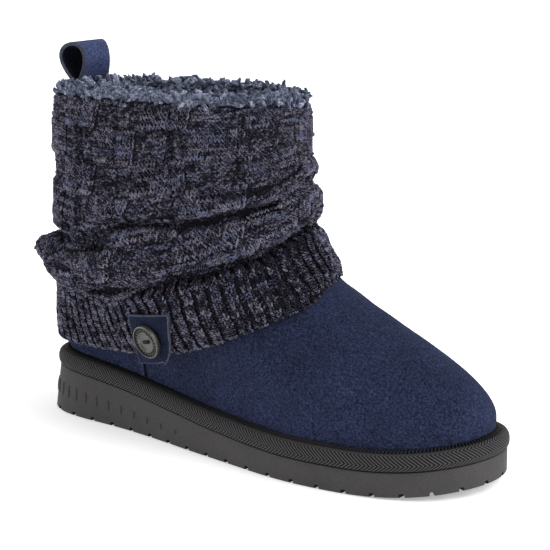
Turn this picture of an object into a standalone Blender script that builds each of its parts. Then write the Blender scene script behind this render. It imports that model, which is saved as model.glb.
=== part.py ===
"""Suede ankle boot for the right foot, with a slouched knit cuff, a pile lining and a rubber wedge sole.

Metres, +Z up, the toe towards +X, and the lateral side, with the button, towards -Y.
While the pieces are shaped, X runs from 0 at the back of the sole to SOLE_LENGTH at the toe.
At the end everything is moved so that the origin lies on the floor under the middle of the boot.
"""

import math

import bmesh
import bpy
import numpy as np
from mathutils import Matrix, Vector

# Sole
SOLE_LENGTH = 0.275
BALL_WIDTH = 0.098
HEEL_WIDTH = 0.070
HEEL_RUBBER = 0.0256
FOREFOOT_RUBBER = 0.0126
TOE_SPRING = 0.005
HEEL_FLARE = 0.003
SOLE_EDGE = 0.0008
NOTCH_WIDTH = 0.0026
NOTCH_DEPTH = 0.0022
NOTCH_REACH = 0.007
NOTCH_PAST = 0.004
NOTCHES_PER_SIDE = 22
TOE_NOTCHES = 3
# Binding tape round the platform
BINDING_HEIGHT = 0.0083
BINDING_BULGE = 0.0010
BINDING_WIDTH = 0.0064
# Upper
UPPER_WALL = 0.002
COLLAR_HEIGHT = 0.168
SHAFT_LENGTH = 0.143
SHAFT_WIDTH = 0.0865
SHAFT_BACK = 0.010
HEEL_BULGE = 0.003
SEAM_PLACE = 0.281
SEAM_WIDTH = 0.0042
SEAM_FOOT = 1.3 * SEAM_WIDTH
SEAM_RAISE = 0.0007
# Length of one turn round the suede where the seams are, used to set the width of the seams
SKIN_ROUND = 1.1 * math.pi * SOLE_LENGTH
# Footbed
FOOTBED_RECESS = 0.0008
# Knit cuff
CUFF_WALL = 0.0042
CUFF_SLACK = 0.0009
CUFF_TOP = 0.006
RIM_TILT = 0.005
HEM_BACK = 0.039
HEM_FRONT = 0.098
FOLD_DEPTH = 0.012
# Pile lining
LINING_WALL = 0.0065
LINING_DEPTH = 0.066
ROLL_HEIGHT = 0.013
ROLL_LAP = 0.0035
TUFT_HEIGHT = 0.0016
TUFTS_ROUND = 19
# Pull loop
LOOP_WIDTH = 0.026
LOOP_WALL = 0.0021
LOOP_RISE = 0.0335
LOOP_DEPTH = 0.013
LOOP_LEAN = 0.56
LOOP_TAIL = 0.016
# Side tab and its button
TAB_WIDTH = 0.0285
TAB_HEIGHT = 0.028
TAB_CLIMB_LOW = 0.008
TAB_CLIMB_HIGH = 0.003
TAB_WALL = 0.0016
TAB_BELOW_HEM = 0.0045
TAB_PLACE = 0.368
BUTTON_UP = 0.03
BUTTON_WIDTH = 0.0182
BUTTON_HEIGHT = 0.0034
BUTTON_RIM = 0.0029
BUTTON_DISH = 0.0009
BUTTON_HOLE = 0.0019
BUTTON_HOLE_PITCH = 0.0042
# Clearance between pieces that touch
CLEAR = 0.0003

COLUMNS = 50


def table(columns, *rows):
    """Named columns over rows of numbers."""
    return dict(zip(columns.split(), np.array(rows, float).T))


# Plan of the sole. Along is a share of its length, lateral and medial are half widths,
# and centre is how far the middle lies to the medial side, all as shares of the local width.
PLAN = table(
    "along lateral medial centre",
    (0.00, 0.000, 0.000, 0.000),
    (0.012, 0.275, 0.275, 0.000),
    (0.05, 0.430, 0.430, 0.000),
    (0.11, 0.492, 0.492, 0.000),
    (0.18, 0.500, 0.500, 0.000),
    (0.40, 0.495, 0.455, 0.000),
    (0.55, 0.482, 0.458, 0.000),
    (0.68, 0.488, 0.485, 0.003),
    (0.78, 0.470, 0.470, 0.012),
    (0.87, 0.425, 0.412, 0.030),
    (0.94, 0.330, 0.322, 0.045),
    (0.98, 0.200, 0.200, 0.050),
    (1.00, 0.000, 0.000, 0.050),
)

# Wedge of the rubber: 1 is the heel's height, 0 the forefoot's.
WEDGE = table(
    "along share",
    (0.00, 1.00),
    (0.12, 0.88),
    (0.35, 0.46),
    (0.58, 0.07),
    (0.70, 0.00),
    (1.00, 0.00),
)

# Side profile and sections of the upper by rise, the share of the way from the feather line to
# the collar. Reach is 1 at the toe and 0 at the front of the shaft, and bulge is the heel's.
# Leg is 0 where a section follows the foot and 1 where it is the shaft's oval, and girth is the
# oval's width.
SIDE = table(
    "rise reach bulge leg girth",
    (0.00, 1.000, 0.00, 0.00, 0.95),
    (0.05, 1.002, 0.32, 0.05, 0.96),
    (0.085, 0.991, 0.52, 0.12, 0.97),
    (0.128, 0.955, 0.74, 0.25, 0.98),
    (0.170, 0.900, 0.90, 0.41, 1.00),
    (0.213, 0.822, 0.99, 0.56, 1.00),
    (0.262, 0.710, 1.00, 0.72, 1.00),
    (0.326, 0.542, 0.93, 0.89, 1.00),
    (0.397, 0.349, 0.76, 0.98, 1.00),
    (0.468, 0.180, 0.55, 1.00, 1.00),
    (0.520, 0.108, 0.42, 1.00, 1.00),
    (0.589, 0.048, 0.27, 1.00, 1.00),
    (0.660, 0.022, 0.15, 1.00, 1.00),
    (0.766, 0.013, 0.05, 1.00, 1.00),
    (0.880, 0.004, 0.00, 1.00, 1.00),
    (1.000, 0.000, 0.00, 1.00, 1.00),
)

# Climb of the cuff's hem from HEM_BACK, 0, to HEM_FRONT, 1. Turn goes from the heel by the
# lateral side to the toe, 0.5, and back by the medial side.
HEM = table(
    "turn climb",
    (0.00, 0.00),
    (0.07, 0.02),
    (0.15, 0.05),
    (0.20, 0.13),
    (0.24, 0.25),
    (0.30, 0.45),
    (0.38, 0.66),
    (0.43, 0.75),
    (0.46, 0.81),
    (0.50, 0.86),
    (0.55, 0.87),
    (0.60, 0.82),
    (0.68, 0.66),
    (0.77, 0.38),
    (0.86, 0.12),
    (1.00, 0.00),
)

# Folds of the cuff round the leg. Turn is 0 at the back, 0.25 lateral, 0.5 at the front and 0.75
# medial. The creases, from low to high, are heights as shares of the collar's. Lifts are how far
# each crease stands off the leg, swells how far the knit between two creases stands out, and
# droop how far the big pleat hangs down, all as shares of the fold depth.
FOLDS = table(
    "turn low middle high lift_low lift_middle lift_high swell_rib pleat droop swell_mid swell_top",
    (0.000, 0.500, 0.595, 0.800, 0.05, 0.00, 0.05, 0.10, 0.82, 0.05, 0.10, 0.08),
    (0.070, 0.500, 0.595, 0.800, 0.05, 0.00, 0.05, 0.10, 0.88, 0.05, 0.10, 0.08),
    (0.140, 0.455, 0.590, 0.800, 0.05, 0.02, 0.05, 0.12, 0.72, 0.30, 0.12, 0.08),
    (0.200, 0.455, 0.630, 0.800, 0.04, 0.04, 0.08, 0.14, 0.60, 0.45, 0.15, 0.08),
    (0.250, 0.488, 0.696, 0.820, 0.02, 0.02, 0.12, 0.15, 0.55, 0.50, 0.16, 0.10),
    (0.330, 0.542, 0.720, 0.835, 0.02, 0.00, 0.12, 0.18, 0.46, 0.40, 0.18, 0.10),
    (0.420, 0.600, 0.774, 0.860, 0.00, 0.00, 0.05, 0.18, 0.36, 0.28, 0.16, 0.06),
    (0.500, 0.700, 0.839, 0.885, 0.00, 0.05, 0.00, 0.14, 0.26, 0.10, 0.10, 0.02),
    (0.580, 0.690, 0.830, 0.885, 0.00, 0.05, 0.00, 0.14, 0.26, 0.10, 0.10, 0.02),
    (0.670, 0.600, 0.760, 0.850, 0.02, 0.00, 0.10, 0.18, 0.38, 0.30, 0.16, 0.08),
    (0.770, 0.530, 0.700, 0.820, 0.04, 0.02, 0.12, 0.15, 0.48, 0.40, 0.16, 0.10),
    (0.880, 0.500, 0.640, 0.800, 0.05, 0.02, 0.08, 0.12, 0.65, 0.25, 0.14, 0.08),
    (1.000, 0.500, 0.595, 0.800, 0.05, 0.00, 0.05, 0.10, 0.82, 0.05, 0.10, 0.08),
)

# Tilt of the cuff's top edge and of the pile roll over it, as a share of RIM_TILT.
RIM = table(
    "turn lift",
    (0.00, 0.00),
    (0.12, 0.45),
    (0.25, 1.00),
    (0.38, 0.90),
    (0.50, 0.65),
    (0.62, 0.30),
    (0.75, 0.10),
    (1.00, 0.00),
)


def slopes(x, y, round_trip):
    """Slopes at the knots of a cubic through them that doesn't overshoot."""
    step = np.diff(x)
    chord = np.diff(y) / step
    if round_trip:
        step = np.concatenate([[step[-1]], step, [step[0]]])
        chord = np.concatenate([[chord[-1]], chord, [chord[0]]])
    else:
        step = np.concatenate([[step[0]], step, [step[-1]]])
        chord = np.concatenate([[chord[0]], chord, [chord[-1]]])
    before, after = chord[:-1], chord[1:]
    mean = (before * step[1:] + after * step[:-1]) / (step[1:] + step[:-1])
    limit = 3 * np.minimum(abs(before), abs(after))
    return np.where(before * after > 0, np.clip(mean, -limit, limit), 0)


def curve(rows, column, at, key, round_trip=False):
    """A smooth curve through one column of a table, read at the values in at."""
    x, y = rows[key], rows[column]
    slope = slopes(x, y, round_trip)
    at = np.clip(at, x[0], x[-1])
    i = np.clip(np.searchsorted(x, at, side="right") - 1, 0, len(x) - 2)
    step = x[i + 1] - x[i]
    t = (at - x[i]) / step
    rise = y[i + 1] - y[i]
    start, end = slope[i] * step, slope[i + 1] * step
    return y[i] + t * (start + t * ((3 * rise - 2 * start - end) + t * (start + end - 2 * rise)))


def smooth(low, high, at):
    """0 below low, 1 above high, and an S between."""
    t = np.clip((at - low) / (high - low), 0, 1)
    return t * t * (3 - 2 * t)


def along(turn):
    """Share of the sole's length at a turn round the boot: 0 at the heel, 1 at the toe."""
    return (1 - np.cos(2 * math.pi * turn)) / 2


def plan_point(turn):
    """(x, y) on the sole's outline. Turn goes from the heel along the lateral side to the toe."""
    share = along(turn)
    rows = dict(PLAN, arc=np.arccos(1 - 2 * PLAN["along"]))
    arc = np.arccos(np.clip(1 - 2 * share, -1, 1))
    width = HEEL_WIDTH + (BALL_WIDTH - HEEL_WIDTH) * smooth(0.2, 0.68, share)
    lateral = turn % 1 < 0.5
    half = np.where(
        lateral, -curve(rows, "lateral", arc, "arc"), curve(rows, "medial", arc, "arc")
    )
    return np.stack([SOLE_LENGTH * share, width * (half + curve(rows, "centre", arc, "arc"))], -1)


def outline(turn, inset):
    """(x, y) on the sole's outline, moved inwards by inset."""
    turn = np.asarray(turn, float)
    tiny = 1e-4
    ahead = plan_point(turn + tiny) - plan_point(turn - tiny)
    ahead /= np.linalg.norm(ahead, axis=-1, keepdims=True)
    inwards = np.stack([-ahead[..., 1], ahead[..., 0]], -1)
    return plan_point(turn) + inwards * np.asarray(inset)[..., None]


def flare(turn):
    """How far the top of the rubber lies inside its foot."""
    return HEEL_FLARE * (1 - smooth(0.0, 0.5, along(turn)))


def sole_bottom(turn):
    return TOE_SPRING * np.clip((along(turn) - 0.78) / 0.22, 0, 1) ** 2


def rubber_top(turn):
    thick = FOREFOOT_RUBBER + (HEEL_RUBBER - FOREFOOT_RUBBER) * curve(
        WEDGE, "share", along(turn), "along"
    )
    return sole_bottom(turn) + thick


def feather_height(turn):
    """Height of the line where the upper comes out of the binding."""
    return rubber_top(turn) + CLEAR + BINDING_HEIGHT


def seam_turns():
    """Turns of the two side seams, lateral and medial."""
    lateral = math.acos(1 - 2 * SEAM_PLACE) / (2 * math.pi)
    return lateral, 1 - lateral


def seam_raise(turn):
    """Height of the raised side seams over the suede."""
    steps = 0
    for centre in seam_turns():
        off = abs(turn - centre) * SKIN_ROUND
        steps = steps + (1 - smooth(SEAM_WIDTH / 2, SEAM_FOOT / 2, off))
    return SEAM_RAISE * steps


def skin_base(turn, rise):
    """A point of the suede's outer face, without the seams."""
    base = outline(turn, flare(turn) + BINDING_WIDTH - BINDING_BULGE + CLEAR)
    tips = np.array([0.0, 0.5])
    heel, toe = outline(tips, flare(tips) + BINDING_WIDTH - BINDING_BULGE + CLEAR)[:, 0]
    share = (base[..., 0] - heel) / (toe - heel)
    reach = curve(SIDE, "reach", rise, "rise")
    leg = curve(SIDE, "leg", rise, "rise")
    shaft_front = SHAFT_BACK + SHAFT_LENGTH
    front = shaft_front + (toe - shaft_front) * reach
    back = heel + (SHAFT_BACK - heel) * leg - HEEL_BULGE * curve(SIDE, "bulge", rise, "rise")
    oval = -SHAFT_WIDTH / 2 * curve(SIDE, "girth", rise, "rise") * np.sin(2 * math.pi * turn)
    foot = feather_height(turn)
    return np.stack(
        [
            back + (front - back) * share,
            base[..., 1] * (1 - leg) + oval * leg,
            foot + rise * (COLLAR_HEIGHT - foot),
        ],
        -1,
    )


def skin(turn, rise, out):
    """A point at a distance out from the suede's outer face. Turn and rise are arrays alike."""
    turn, rise = np.broadcast_arrays(np.asarray(turn, float), np.asarray(rise, float))
    tiny = 1e-4
    across = skin_base(turn + tiny, rise) - skin_base(turn - tiny, rise)
    upwards = skin_base(turn, rise + tiny) - skin_base(turn, rise - tiny)
    normal = np.cross(across, upwards)
    normal /= np.linalg.norm(normal, axis=-1, keepdims=True)
    return skin_base(turn, rise) + normal * np.asarray(out)[..., None]


def rise_at(turn, height):
    foot = feather_height(turn)
    return (height - foot) / (COLLAR_HEIGHT - foot)


def hem_height(turn):
    climb = curve(HEM, "climb", np.asarray(turn) % 1, "turn", round_trip=True)
    return HEM_BACK + (HEM_FRONT - HEM_BACK) * climb


def fold(column, turn):
    return curve(FOLDS, column, np.asarray(turn) % 1, "turn", round_trip=True)


def rim(turn):
    return RIM_TILT * curve(RIM, "lift", np.asarray(turn) % 1, "turn", round_trip=True)


def cuff_point(turn, level, inner):
    """A point of the cuff. Level is 0 at the hem, 1, 2 and 3 at the creases and 4 at the top."""
    heights = np.stack(
        [
            hem_height(turn),
            fold("low", turn) * COLLAR_HEIGHT,
            fold("middle", turn) * COLLAR_HEIGHT,
            fold("high", turn) * COLLAR_HEIGHT,
            COLLAR_HEIGHT + CUFF_TOP + rim(turn),
        ]
    )
    lifts = np.stack(
        [
            np.zeros(np.shape(turn)),
            fold("lift_low", turn),
            fold("lift_middle", turn),
            fold("lift_high", turn),
            np.zeros(np.shape(turn)),
        ]
    )
    swells = np.stack([fold(c, turn) for c in ("swell_rib", "pleat", "swell_mid", "swell_top")])
    band = min(int(level), 3)
    part = level - band
    hump = (4 * part * (1 - part)) ** 0.8
    height = heights[band] + (heights[band + 1] - heights[band]) * part
    lift = lifts[band] + (lifts[band + 1] - lifts[band]) * part
    stand_off = FOLD_DEPTH * (lift + swells[band] * hump)
    sag = FOLD_DEPTH * fold("droop", turn) * hump if band == 1 else np.zeros(np.shape(turn))
    gap = CUFF_SLACK + seam_raise(turn)
    if inner:
        return skin(turn, rise_at(turn, height), gap + 0.3 * stand_off)
    point = skin(turn, rise_at(turn, height), gap + CUFF_WALL + stand_off)
    point[..., 2] -= sag
    return point


def columns():
    """Turns of the columns shared by all rings: evenly spaced, and four round each side seam."""
    even = [i / COLUMNS for i in range(COLUMNS)]
    top, foot = SEAM_WIDTH / 2 / SKIN_ROUND, SEAM_FOOT / 2 / SKIN_ROUND
    for place in seam_turns():
        even = [t for t in even if abs(t - place) > 1.6 * foot]
        even += [place - foot, place - top, place + top, place + foot]
    return np.array(sorted(even))


def material(name, colour, roughness, metallic=0.0):
    made = bpy.data.materials.new(name)
    made.use_nodes = True
    shader = made.node_tree.nodes["Principled BSDF"]
    shader.inputs["Base Color"].default_value = (*colour, 1)
    shader.inputs["Roughness"].default_value = roughness
    shader.inputs["Metallic"].default_value = metallic
    return made


def add_object(name, bm, finish, sharp_degrees=40):
    """An object from a bmesh, with its normals outwards and its round faces smooth."""
    bmesh.ops.recalc_face_normals(bm, faces=bm.faces)
    mesh = bpy.data.meshes.new(name)
    bm.to_mesh(mesh)
    bm.free()
    mesh.shade_smooth()
    mesh.set_sharp_from_angle(angle=math.radians(sharp_degrees))
    mesh.materials.append(finish)
    made = bpy.data.objects.new(name, mesh)
    bpy.context.scene.collection.objects.link(made)
    return made


def add_rows(bm, rows):
    return [[bm.verts.new(point) for point in row] for row in rows]


def stitch(bm, first, second, closed=True):
    """Quads between two rows of vertices of the same count."""
    count = len(first)
    for i in range(count if closed else count - 1):
        j = (i + 1) % count
        bm.faces.new((first[i], first[j], second[j], second[i]))


def ring_solid(name, rows, finish):
    """A closed ring from a loop of rows: each row goes round the boot."""
    bm = bmesh.new()
    made = add_rows(bm, rows)
    for first, second in zip(made, made[1:] + made[:1]):
        stitch(bm, first, second)
    return add_object(name, bm, finish)


def plate(name, rows, finish, sharp_degrees=40):
    """A solid from rows one above another, each round the boot, with strips across its ends."""
    bm = bmesh.new()
    made = add_rows(bm, rows)
    for first, second in zip(made, made[1:]):
        stitch(bm, first, second)
    count = len(made[0])
    for ring in (made[0], made[-1]):
        for i in range(count // 2):
            corners = [ring[i], ring[i + 1], ring[(count - i - 1) % count], ring[(count - i) % count]]
            bm.faces.new(dict.fromkeys(corners))
    return add_object(name, bm, finish, sharp_degrees)


def slab(name, outer, inner, finish):
    """A solid from two like grids of points, closed round their edges."""
    bm = bmesh.new()
    front, back = add_rows(bm, outer), add_rows(bm, inner)
    for grid in (front, back):
        for first, second in zip(grid, grid[1:]):
            stitch(bm, first, second, closed=False)
    for first, second in ((front[0], back[0]), (front[-1], back[-1])):
        stitch(bm, first, second, closed=False)
    for edge in (0, -1):
        stitch(bm, [row[edge] for row in front], [row[edge] for row in back], closed=False)
    return add_object(name, bm, finish)


def at_height(plan, height):
    return np.concatenate([plan, np.broadcast_to(height, plan.shape[:-1])[..., None]], -1)


def cut(target, cutter):
    modifier = target.modifiers.new(cutter.name, "BOOLEAN")
    modifier.operation = "DIFFERENCE"
    modifier.solver = "EXACT"
    modifier.object = cutter
    cutter.hide_render = True
    cutter.display_type = "WIRE"


def arc_turns(low, high, count):
    """Turns of points spaced evenly along the outline between two turns, half a pitch in."""
    fine = np.linspace(low, high, 2000)
    steps = np.linalg.norm(np.diff(plan_point(fine), axis=0), axis=-1)
    length = np.concatenate([[0], np.cumsum(steps)])
    wanted = (np.arange(count) + 0.5) / count * length[-1]
    return np.interp(wanted, length, fine)


def groove_cutters():
    """One mesh of bars: across the sole from side to side, and short ones round the toe."""
    bm = bmesh.new()
    lateral = arc_turns(0.0, 0.5, NOTCHES_PER_SIDE)
    medial = 1 - lateral
    for number, (near, far) in enumerate(zip(lateral, medial)):
        start, end = plan_point(near), plan_point(far)
        height = sole_bottom(near)
        across = (end - start) / np.linalg.norm(end - start)
        if number < NOTCHES_PER_SIDE - TOE_NOTCHES:
            runs = [(start - across * NOTCH_PAST, end + across * NOTCH_PAST)]
        else:
            pair = np.array([near, far])
            inner, outer = outline(pair, NOTCH_REACH), outline(pair, -NOTCH_PAST)
            runs = [(outer[0], inner[0]), (outer[1], inner[1])]
        for first, last in runs:
            middle = (first + last) / 2
            length = np.linalg.norm(last - first)
            angle = math.atan2(*(last - first)[::-1])
            size = Matrix.Diagonal((length, NOTCH_WIDTH, 2 * NOTCH_DEPTH, 1))
            place = Matrix.Translation((*middle, height)) @ Matrix.Rotation(angle, 4, "Z")
            bmesh.ops.create_cube(bm, size=1, matrix=place @ size)
    made = add_object("groove_cutters", bm, None)
    return made


def make_outsole(finish):
    around = columns()
    low, top = sole_bottom(around), rubber_top(around)
    rows = [
        at_height(outline(around, SOLE_EDGE), low),
        at_height(outline(around, 0 * around), low + SOLE_EDGE),
        at_height(outline(around, flare(around)), top - SOLE_EDGE),
        at_height(outline(around, flare(around) + SOLE_EDGE), top),
    ]
    sole = plate("outsole", rows, finish)
    cut(sole, groove_cutters())
    return sole


def make_binding(finish):
    """The taped edge of the platform: a ring with a rounded outer face."""
    around = columns()
    foot = rubber_top(around) + CLEAR
    section = table(
        "out up",
        (1.00, 0.00),
        (0.28, 0.00),
        (0.06, 0.12),
        (0.00, 0.40),
        (0.05, 0.68),
        (0.22, 0.90),
        (0.52, 1.00),
        (1.00, 0.92),
    )
    rows = [
        at_height(
            outline(around, flare(around) - BINDING_BULGE + BINDING_WIDTH * out),
            foot + BINDING_HEIGHT * up,
        )
        for out, up in zip(section["out"], section["up"])
    ]
    return ring_solid("binding", rows, finish)


def make_upper(finish):
    around = columns()
    foot = feather_height(around)
    tuck = (rubber_top(around) + 2 * CLEAR - foot) / (COLLAR_HEIGHT - foot)
    levels = [tuck] + [
        0 * around + r
        for r in (0, 0.015, 0.06, 0.11, 0.18, 0.26, 0.34, 0.40, 0.46, 0.52, 0.60, 0.72, 0.86, 1.0)
    ]
    shown = [0, 0] + [1] * (len(levels) - 2)
    outer = [skin(around, level, seam_raise(around) * on) for level, on in zip(levels, shown)]
    inner = [skin(around, level, 0 * around - UPPER_WALL) for level in levels]
    return ring_solid("upper", outer + inner[::-1], finish)


def make_footbed(finish):
    """The insole, which fills the platform inside the upper's lower edge."""
    around = columns()
    inset = flare(around) + BINDING_WIDTH - BINDING_BULGE + 2 * CLEAR + UPPER_WALL
    foot = rubber_top(around) + CLEAR
    plan = outline(around, inset)
    top = foot + BINDING_HEIGHT - FOOTBED_RECESS
    rows = [at_height(plan, foot), at_height(plan, top)]
    return plate("insole", rows, finish)


def make_cuff(finish):
    around = columns()
    rows_in_band = (3, 6, 4, 4)
    levels = [band + i / rows for band, rows in enumerate(rows_in_band) for i in range(rows)] + [4]
    outer = [cuff_point(around, level, inner=False) for level in levels]
    inner = [cuff_point(around, level, inner=True) for level in (0, 0.33, 0.67, 1, 1.5, 2, 2.5, 3, 4)]
    return ring_solid("knit_cuff", outer + inner[::-1], finish)


def loop_place(turn):
    """1 where the pull loop passes between the suede and the lining, and 0 away from it."""
    off = np.minimum(turn % 1, 1 - turn % 1) * math.pi * (SHAFT_LENGTH + SHAFT_WIDTH) / 2
    return 1 - smooth(LOOP_WIDTH * 0.8, LOOP_WIDTH * 1.2, off)


def make_lining(finish):
    """The pile lining of the shaft, rolled out over the collar in tufts."""
    around = columns()
    here = loop_place(around)
    wave = np.sin(2 * math.pi * TUFTS_ROUND * around)
    wave = wave + 0.6 * np.sin(2 * math.pi * (TUFTS_ROUND // 2) * around + 1.3)
    tuft = TUFT_HEIGHT * wave / 1.6
    outer_face = -UPPER_WALL - 2 * CLEAR
    inner_face = outer_face - LINING_WALL
    pocket_face = outer_face - 2 * LOOP_WALL - 3 * CLEAR
    bottom = COLLAR_HEIGHT - LINING_DEPTH
    shelf = COLLAR_HEIGHT + CLEAR
    cuff_top = COLLAR_HEIGHT + CUFF_TOP + CLEAR + rim(around)
    roll_top = COLLAR_HEIGHT + ROLL_HEIGHT + rim(around)
    lap = CUFF_SLACK + ROLL_LAP
    down = [bottom + LINING_DEPTH * share for share in (0, 0.13, 0.28, 0.52, 0.80)]
    section = [(inner_face, height, 0.0) for height in down]
    section += [
        (inner_face, cuff_top, -0.6),
        (inner_face + 0.3 * LINING_WALL, roll_top - 0.12 * ROLL_HEIGHT, 0.8),
        (outer_face, roll_top, 1.0),
        (0.7 * lap, roll_top - 0.12 * ROLL_HEIGHT, 0.9),
        (lap, cuff_top + 0.12 * ROLL_HEIGHT, 0.5),
        (0.5 * CUFF_SLACK, cuff_top, 0.0),
        (0.0, shelf, 0.0),
        (outer_face, shelf - here * 2 * CLEAR, 0.0),
    ]
    section += [(outer_face, height, 0.0) for height in reversed(down)]
    rows = []
    for out, height, share in section:
        pushed = out + here * min(0, pocket_face - out)
        if out < (inner_face + outer_face) / 2:
            pushed = pushed - here * LOOP_WALL
        row = skin(around, rise_at(around, height), pushed)
        row[..., 2] += tuft * share * (1 - here)
        rows.append(row)
    return ring_solid("pile_lining", rows, finish)


def make_loop(finish):
    """The pull loop: one strap bent in a teardrop, with both ends down inside the collar."""
    back_leg = UPPER_WALL + CLEAR + LOOP_WALL / 2
    front_leg = back_leg + LOOP_WALL + CLEAR
    middle = (back_leg + front_leg) / 2
    neck = COLLAR_HEIGHT + ROLL_HEIGHT
    low, top = COLLAR_HEIGHT - LOOP_TAIL, COLLAR_HEIGHT + LOOP_RISE
    tail = (low, COLLAR_HEIGHT - LOOP_TAIL / 2, COLLAR_HEIGHT, neck)
    path = [(back_leg, height) for height in tail]
    steps = 14
    widest = 0.77
    for i in range(1, steps):
        angle = 2 * math.pi * i / steps
        lean = LOOP_LEAN if i < steps / 2 else 1 - LOOP_LEAN
        swing = math.sin(angle) * math.sin(angle / 2) * LOOP_DEPTH * lean / widest
        share = (1 - math.cos(angle)) / 2
        leg = (back_leg if i < steps / 2 else front_leg) * (1 - share) + middle * share
        path.append((leg - swing, neck + (top - neck) * share))
    path += [(front_leg, height) for height in reversed(tail)]
    path = np.array(path)
    ahead = np.gradient(path, axis=0)
    ahead /= np.linalg.norm(ahead, axis=-1, keepdims=True)
    side = np.stack([-ahead[:, 1], ahead[:, 0]], -1) * LOOP_WALL / 2
    across = np.linspace(-1, 1, 5) * LOOP_WIDTH / (2 * math.pi * SHAFT_WIDTH)

    def edge(points, turn):
        low = np.minimum(points[:, 1], COLLAR_HEIGHT)
        row = skin(turn + 0 * low, rise_at(turn + 0 * low, low), -points[:, 0])
        straight = skin(0 * low, rise_at(0 * low, low), -points[:, 0])
        flat = smooth(COLLAR_HEIGHT + CUFF_TOP, top, points[:, 1])
        row[:, 0] += flat * (straight[:, 0] - row[:, 0])
        row[:, 2] = points[:, 1]
        return row

    outer = [edge(path + side, turn) for turn in across]
    inner = [edge(path - side, turn) for turn in across]
    return slab("pull_loop", outer, inner, finish)


def tab_stand_off(turn):
    """How far the tab stands off the suede: on the cuff's ribbed band, where it is thickest."""
    folds = fold("swell_rib", turn) + fold("lift_low", turn)
    return CUFF_SLACK + CUFF_WALL + FOLD_DEPTH * folds + CLEAR


def turn_at(x, height):
    """Turn on the lateral side where the suede at a height is at x."""
    fine = np.linspace(0.02, 0.48, 400)
    height = np.asarray(height, float)
    places = [np.interp(px, skin_base(fine, rise_at(fine, h))[:, 0], fine)
              for px, h in np.broadcast(x, height)]
    return np.array(places).reshape(np.broadcast(x, height).shape)


def tab_point(across, up, out):
    """A point over the tab: across and up go from -1 at its back and lower edges to 1."""
    x = TAB_PLACE * SOLE_LENGTH
    forward, upward = (1 + across) / 2, (1 + up) / 2
    low = float(hem_height(turn_at(x, HEM_BACK))) - TAB_BELOW_HEM + TAB_CLIMB_LOW * forward
    high = low + TAB_HEIGHT + (TAB_CLIMB_HIGH - TAB_CLIMB_LOW) * forward
    height = low + (high - low) * upward
    turn = turn_at(x + TAB_WIDTH / 2 * across, height)
    return skin(turn, rise_at(turn, height), tab_stand_off(turn) + out)


def make_tab(finish):
    across, ups = np.linspace(-1, 1, 7), np.linspace(-1, 1, 6)
    outer = [tab_point(across, up, 0 * across + TAB_WALL) for up in ups]
    inner = [tab_point(across, up, 0 * across) for up in ups]
    return slab("side_tab", outer, inner, finish)


def make_button(finish):
    """A turned button with a raised rim, a dished middle and two thread holes."""
    radius = BUTTON_WIDTH / 2
    rim = BUTTON_RIM
    profile = [
        (0.0, 0.0),
        (radius * 0.72, 0.0),
        (radius * 0.98, BUTTON_HEIGHT * 0.30),
        (radius, BUTTON_HEIGHT * 0.62),
        (radius - rim * 0.25, BUTTON_HEIGHT),
        (radius - rim, BUTTON_HEIGHT * 0.97),
        (radius - rim * 1.25, BUTTON_HEIGHT - BUTTON_DISH),
        (0.0, BUTTON_HEIGHT - BUTTON_DISH),
    ]
    bm = bmesh.new()
    points = [bm.verts.new((r, 0, z)) for r, z in profile]
    edges = [bm.edges.new(pair) for pair in zip(points, points[1:])]
    bmesh.ops.spin(
        bm, geom=points + edges, cent=(0, 0, 0), axis=(0, 0, 1), angle=2 * math.pi, steps=28, use_merge=True
    )
    bmesh.ops.remove_doubles(bm, verts=bm.verts, dist=1e-6)
    button = add_object("button", bm, finish, sharp_degrees=30)
    bm = bmesh.new()
    for side in (-1, 1):
        place = Matrix.Translation((side * BUTTON_HOLE_PITCH / 2, 0, BUTTON_HEIGHT / 2))
        bmesh.ops.create_cone(
            bm, cap_ends=True, segments=10, radius1=BUTTON_HOLE / 2, radius2=BUTTON_HOLE / 2,
            depth=2 * BUTTON_HEIGHT, matrix=place,
        )
    holes = add_object("button_hole_cutters", bm, None)
    cut(button, holes)
    wall = np.array(TAB_WALL)
    spots = [(0.0, BUTTON_UP), (0.35, BUTTON_UP), (0.0, BUTTON_UP + 0.4)]
    at, ahead, above = (Vector(tab_point(np.array(a), np.array(u), wall)) for a, u in spots)
    forward = (ahead - at).normalized()
    normal = forward.cross(above - at).normalized()
    steps = (-0.5, 0, 0.5)
    near = [tab_point(np.array(a), np.array(BUTTON_UP + u), wall) for a in steps for u in steps]
    lift = max((Vector(point) - at).dot(normal) for point in near)
    turned = Matrix((forward, normal.cross(forward), normal)).transposed().to_4x4()
    for piece in (button, holes):
        piece.matrix_world = Matrix.Translation(at + normal * (lift + CLEAR)) @ turned
    return button


def centre_on_floor(pieces):
    """Moves everything so that the origin is on the floor below the middle of the boot."""
    bpy.context.view_layer.update()
    corners = [piece.matrix_world @ Vector(corner) for piece in pieces for corner in piece.bound_box]
    low = [min(c[i] for c in corners) for i in range(3)]
    high = [max(c[i] for c in corners) for i in range(3)]
    shift = Matrix.Translation((-(low[0] + high[0]) / 2, -(low[1] + high[1]) / 2, 0))
    for piece in bpy.data.objects:
        piece.matrix_world = shift @ piece.matrix_world


def build():
    for old in list(bpy.data.objects):
        bpy.data.objects.remove(old)
    suede = material("suede", (0.030, 0.042, 0.105), 0.95)
    knit = material("knit", (0.050, 0.048, 0.075), 0.95)
    pile = material("pile", (0.110, 0.130, 0.215), 0.95)
    rubber = material("rubber", (0.055, 0.052, 0.054), 0.75)
    tape = material("binding_tape", (0.022, 0.022, 0.024), 0.85)
    metal = material("button_metal", (0.11, 0.105, 0.10), 0.42, 0.7)
    pieces = [
        make_outsole(rubber),
        make_binding(tape),
        make_footbed(pile),
        make_upper(suede),
        make_lining(pile),
        make_cuff(knit),
        make_loop(suede),
        make_tab(suede),
        make_button(metal),
    ]
    centre_on_floor(pieces)


build()
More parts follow.
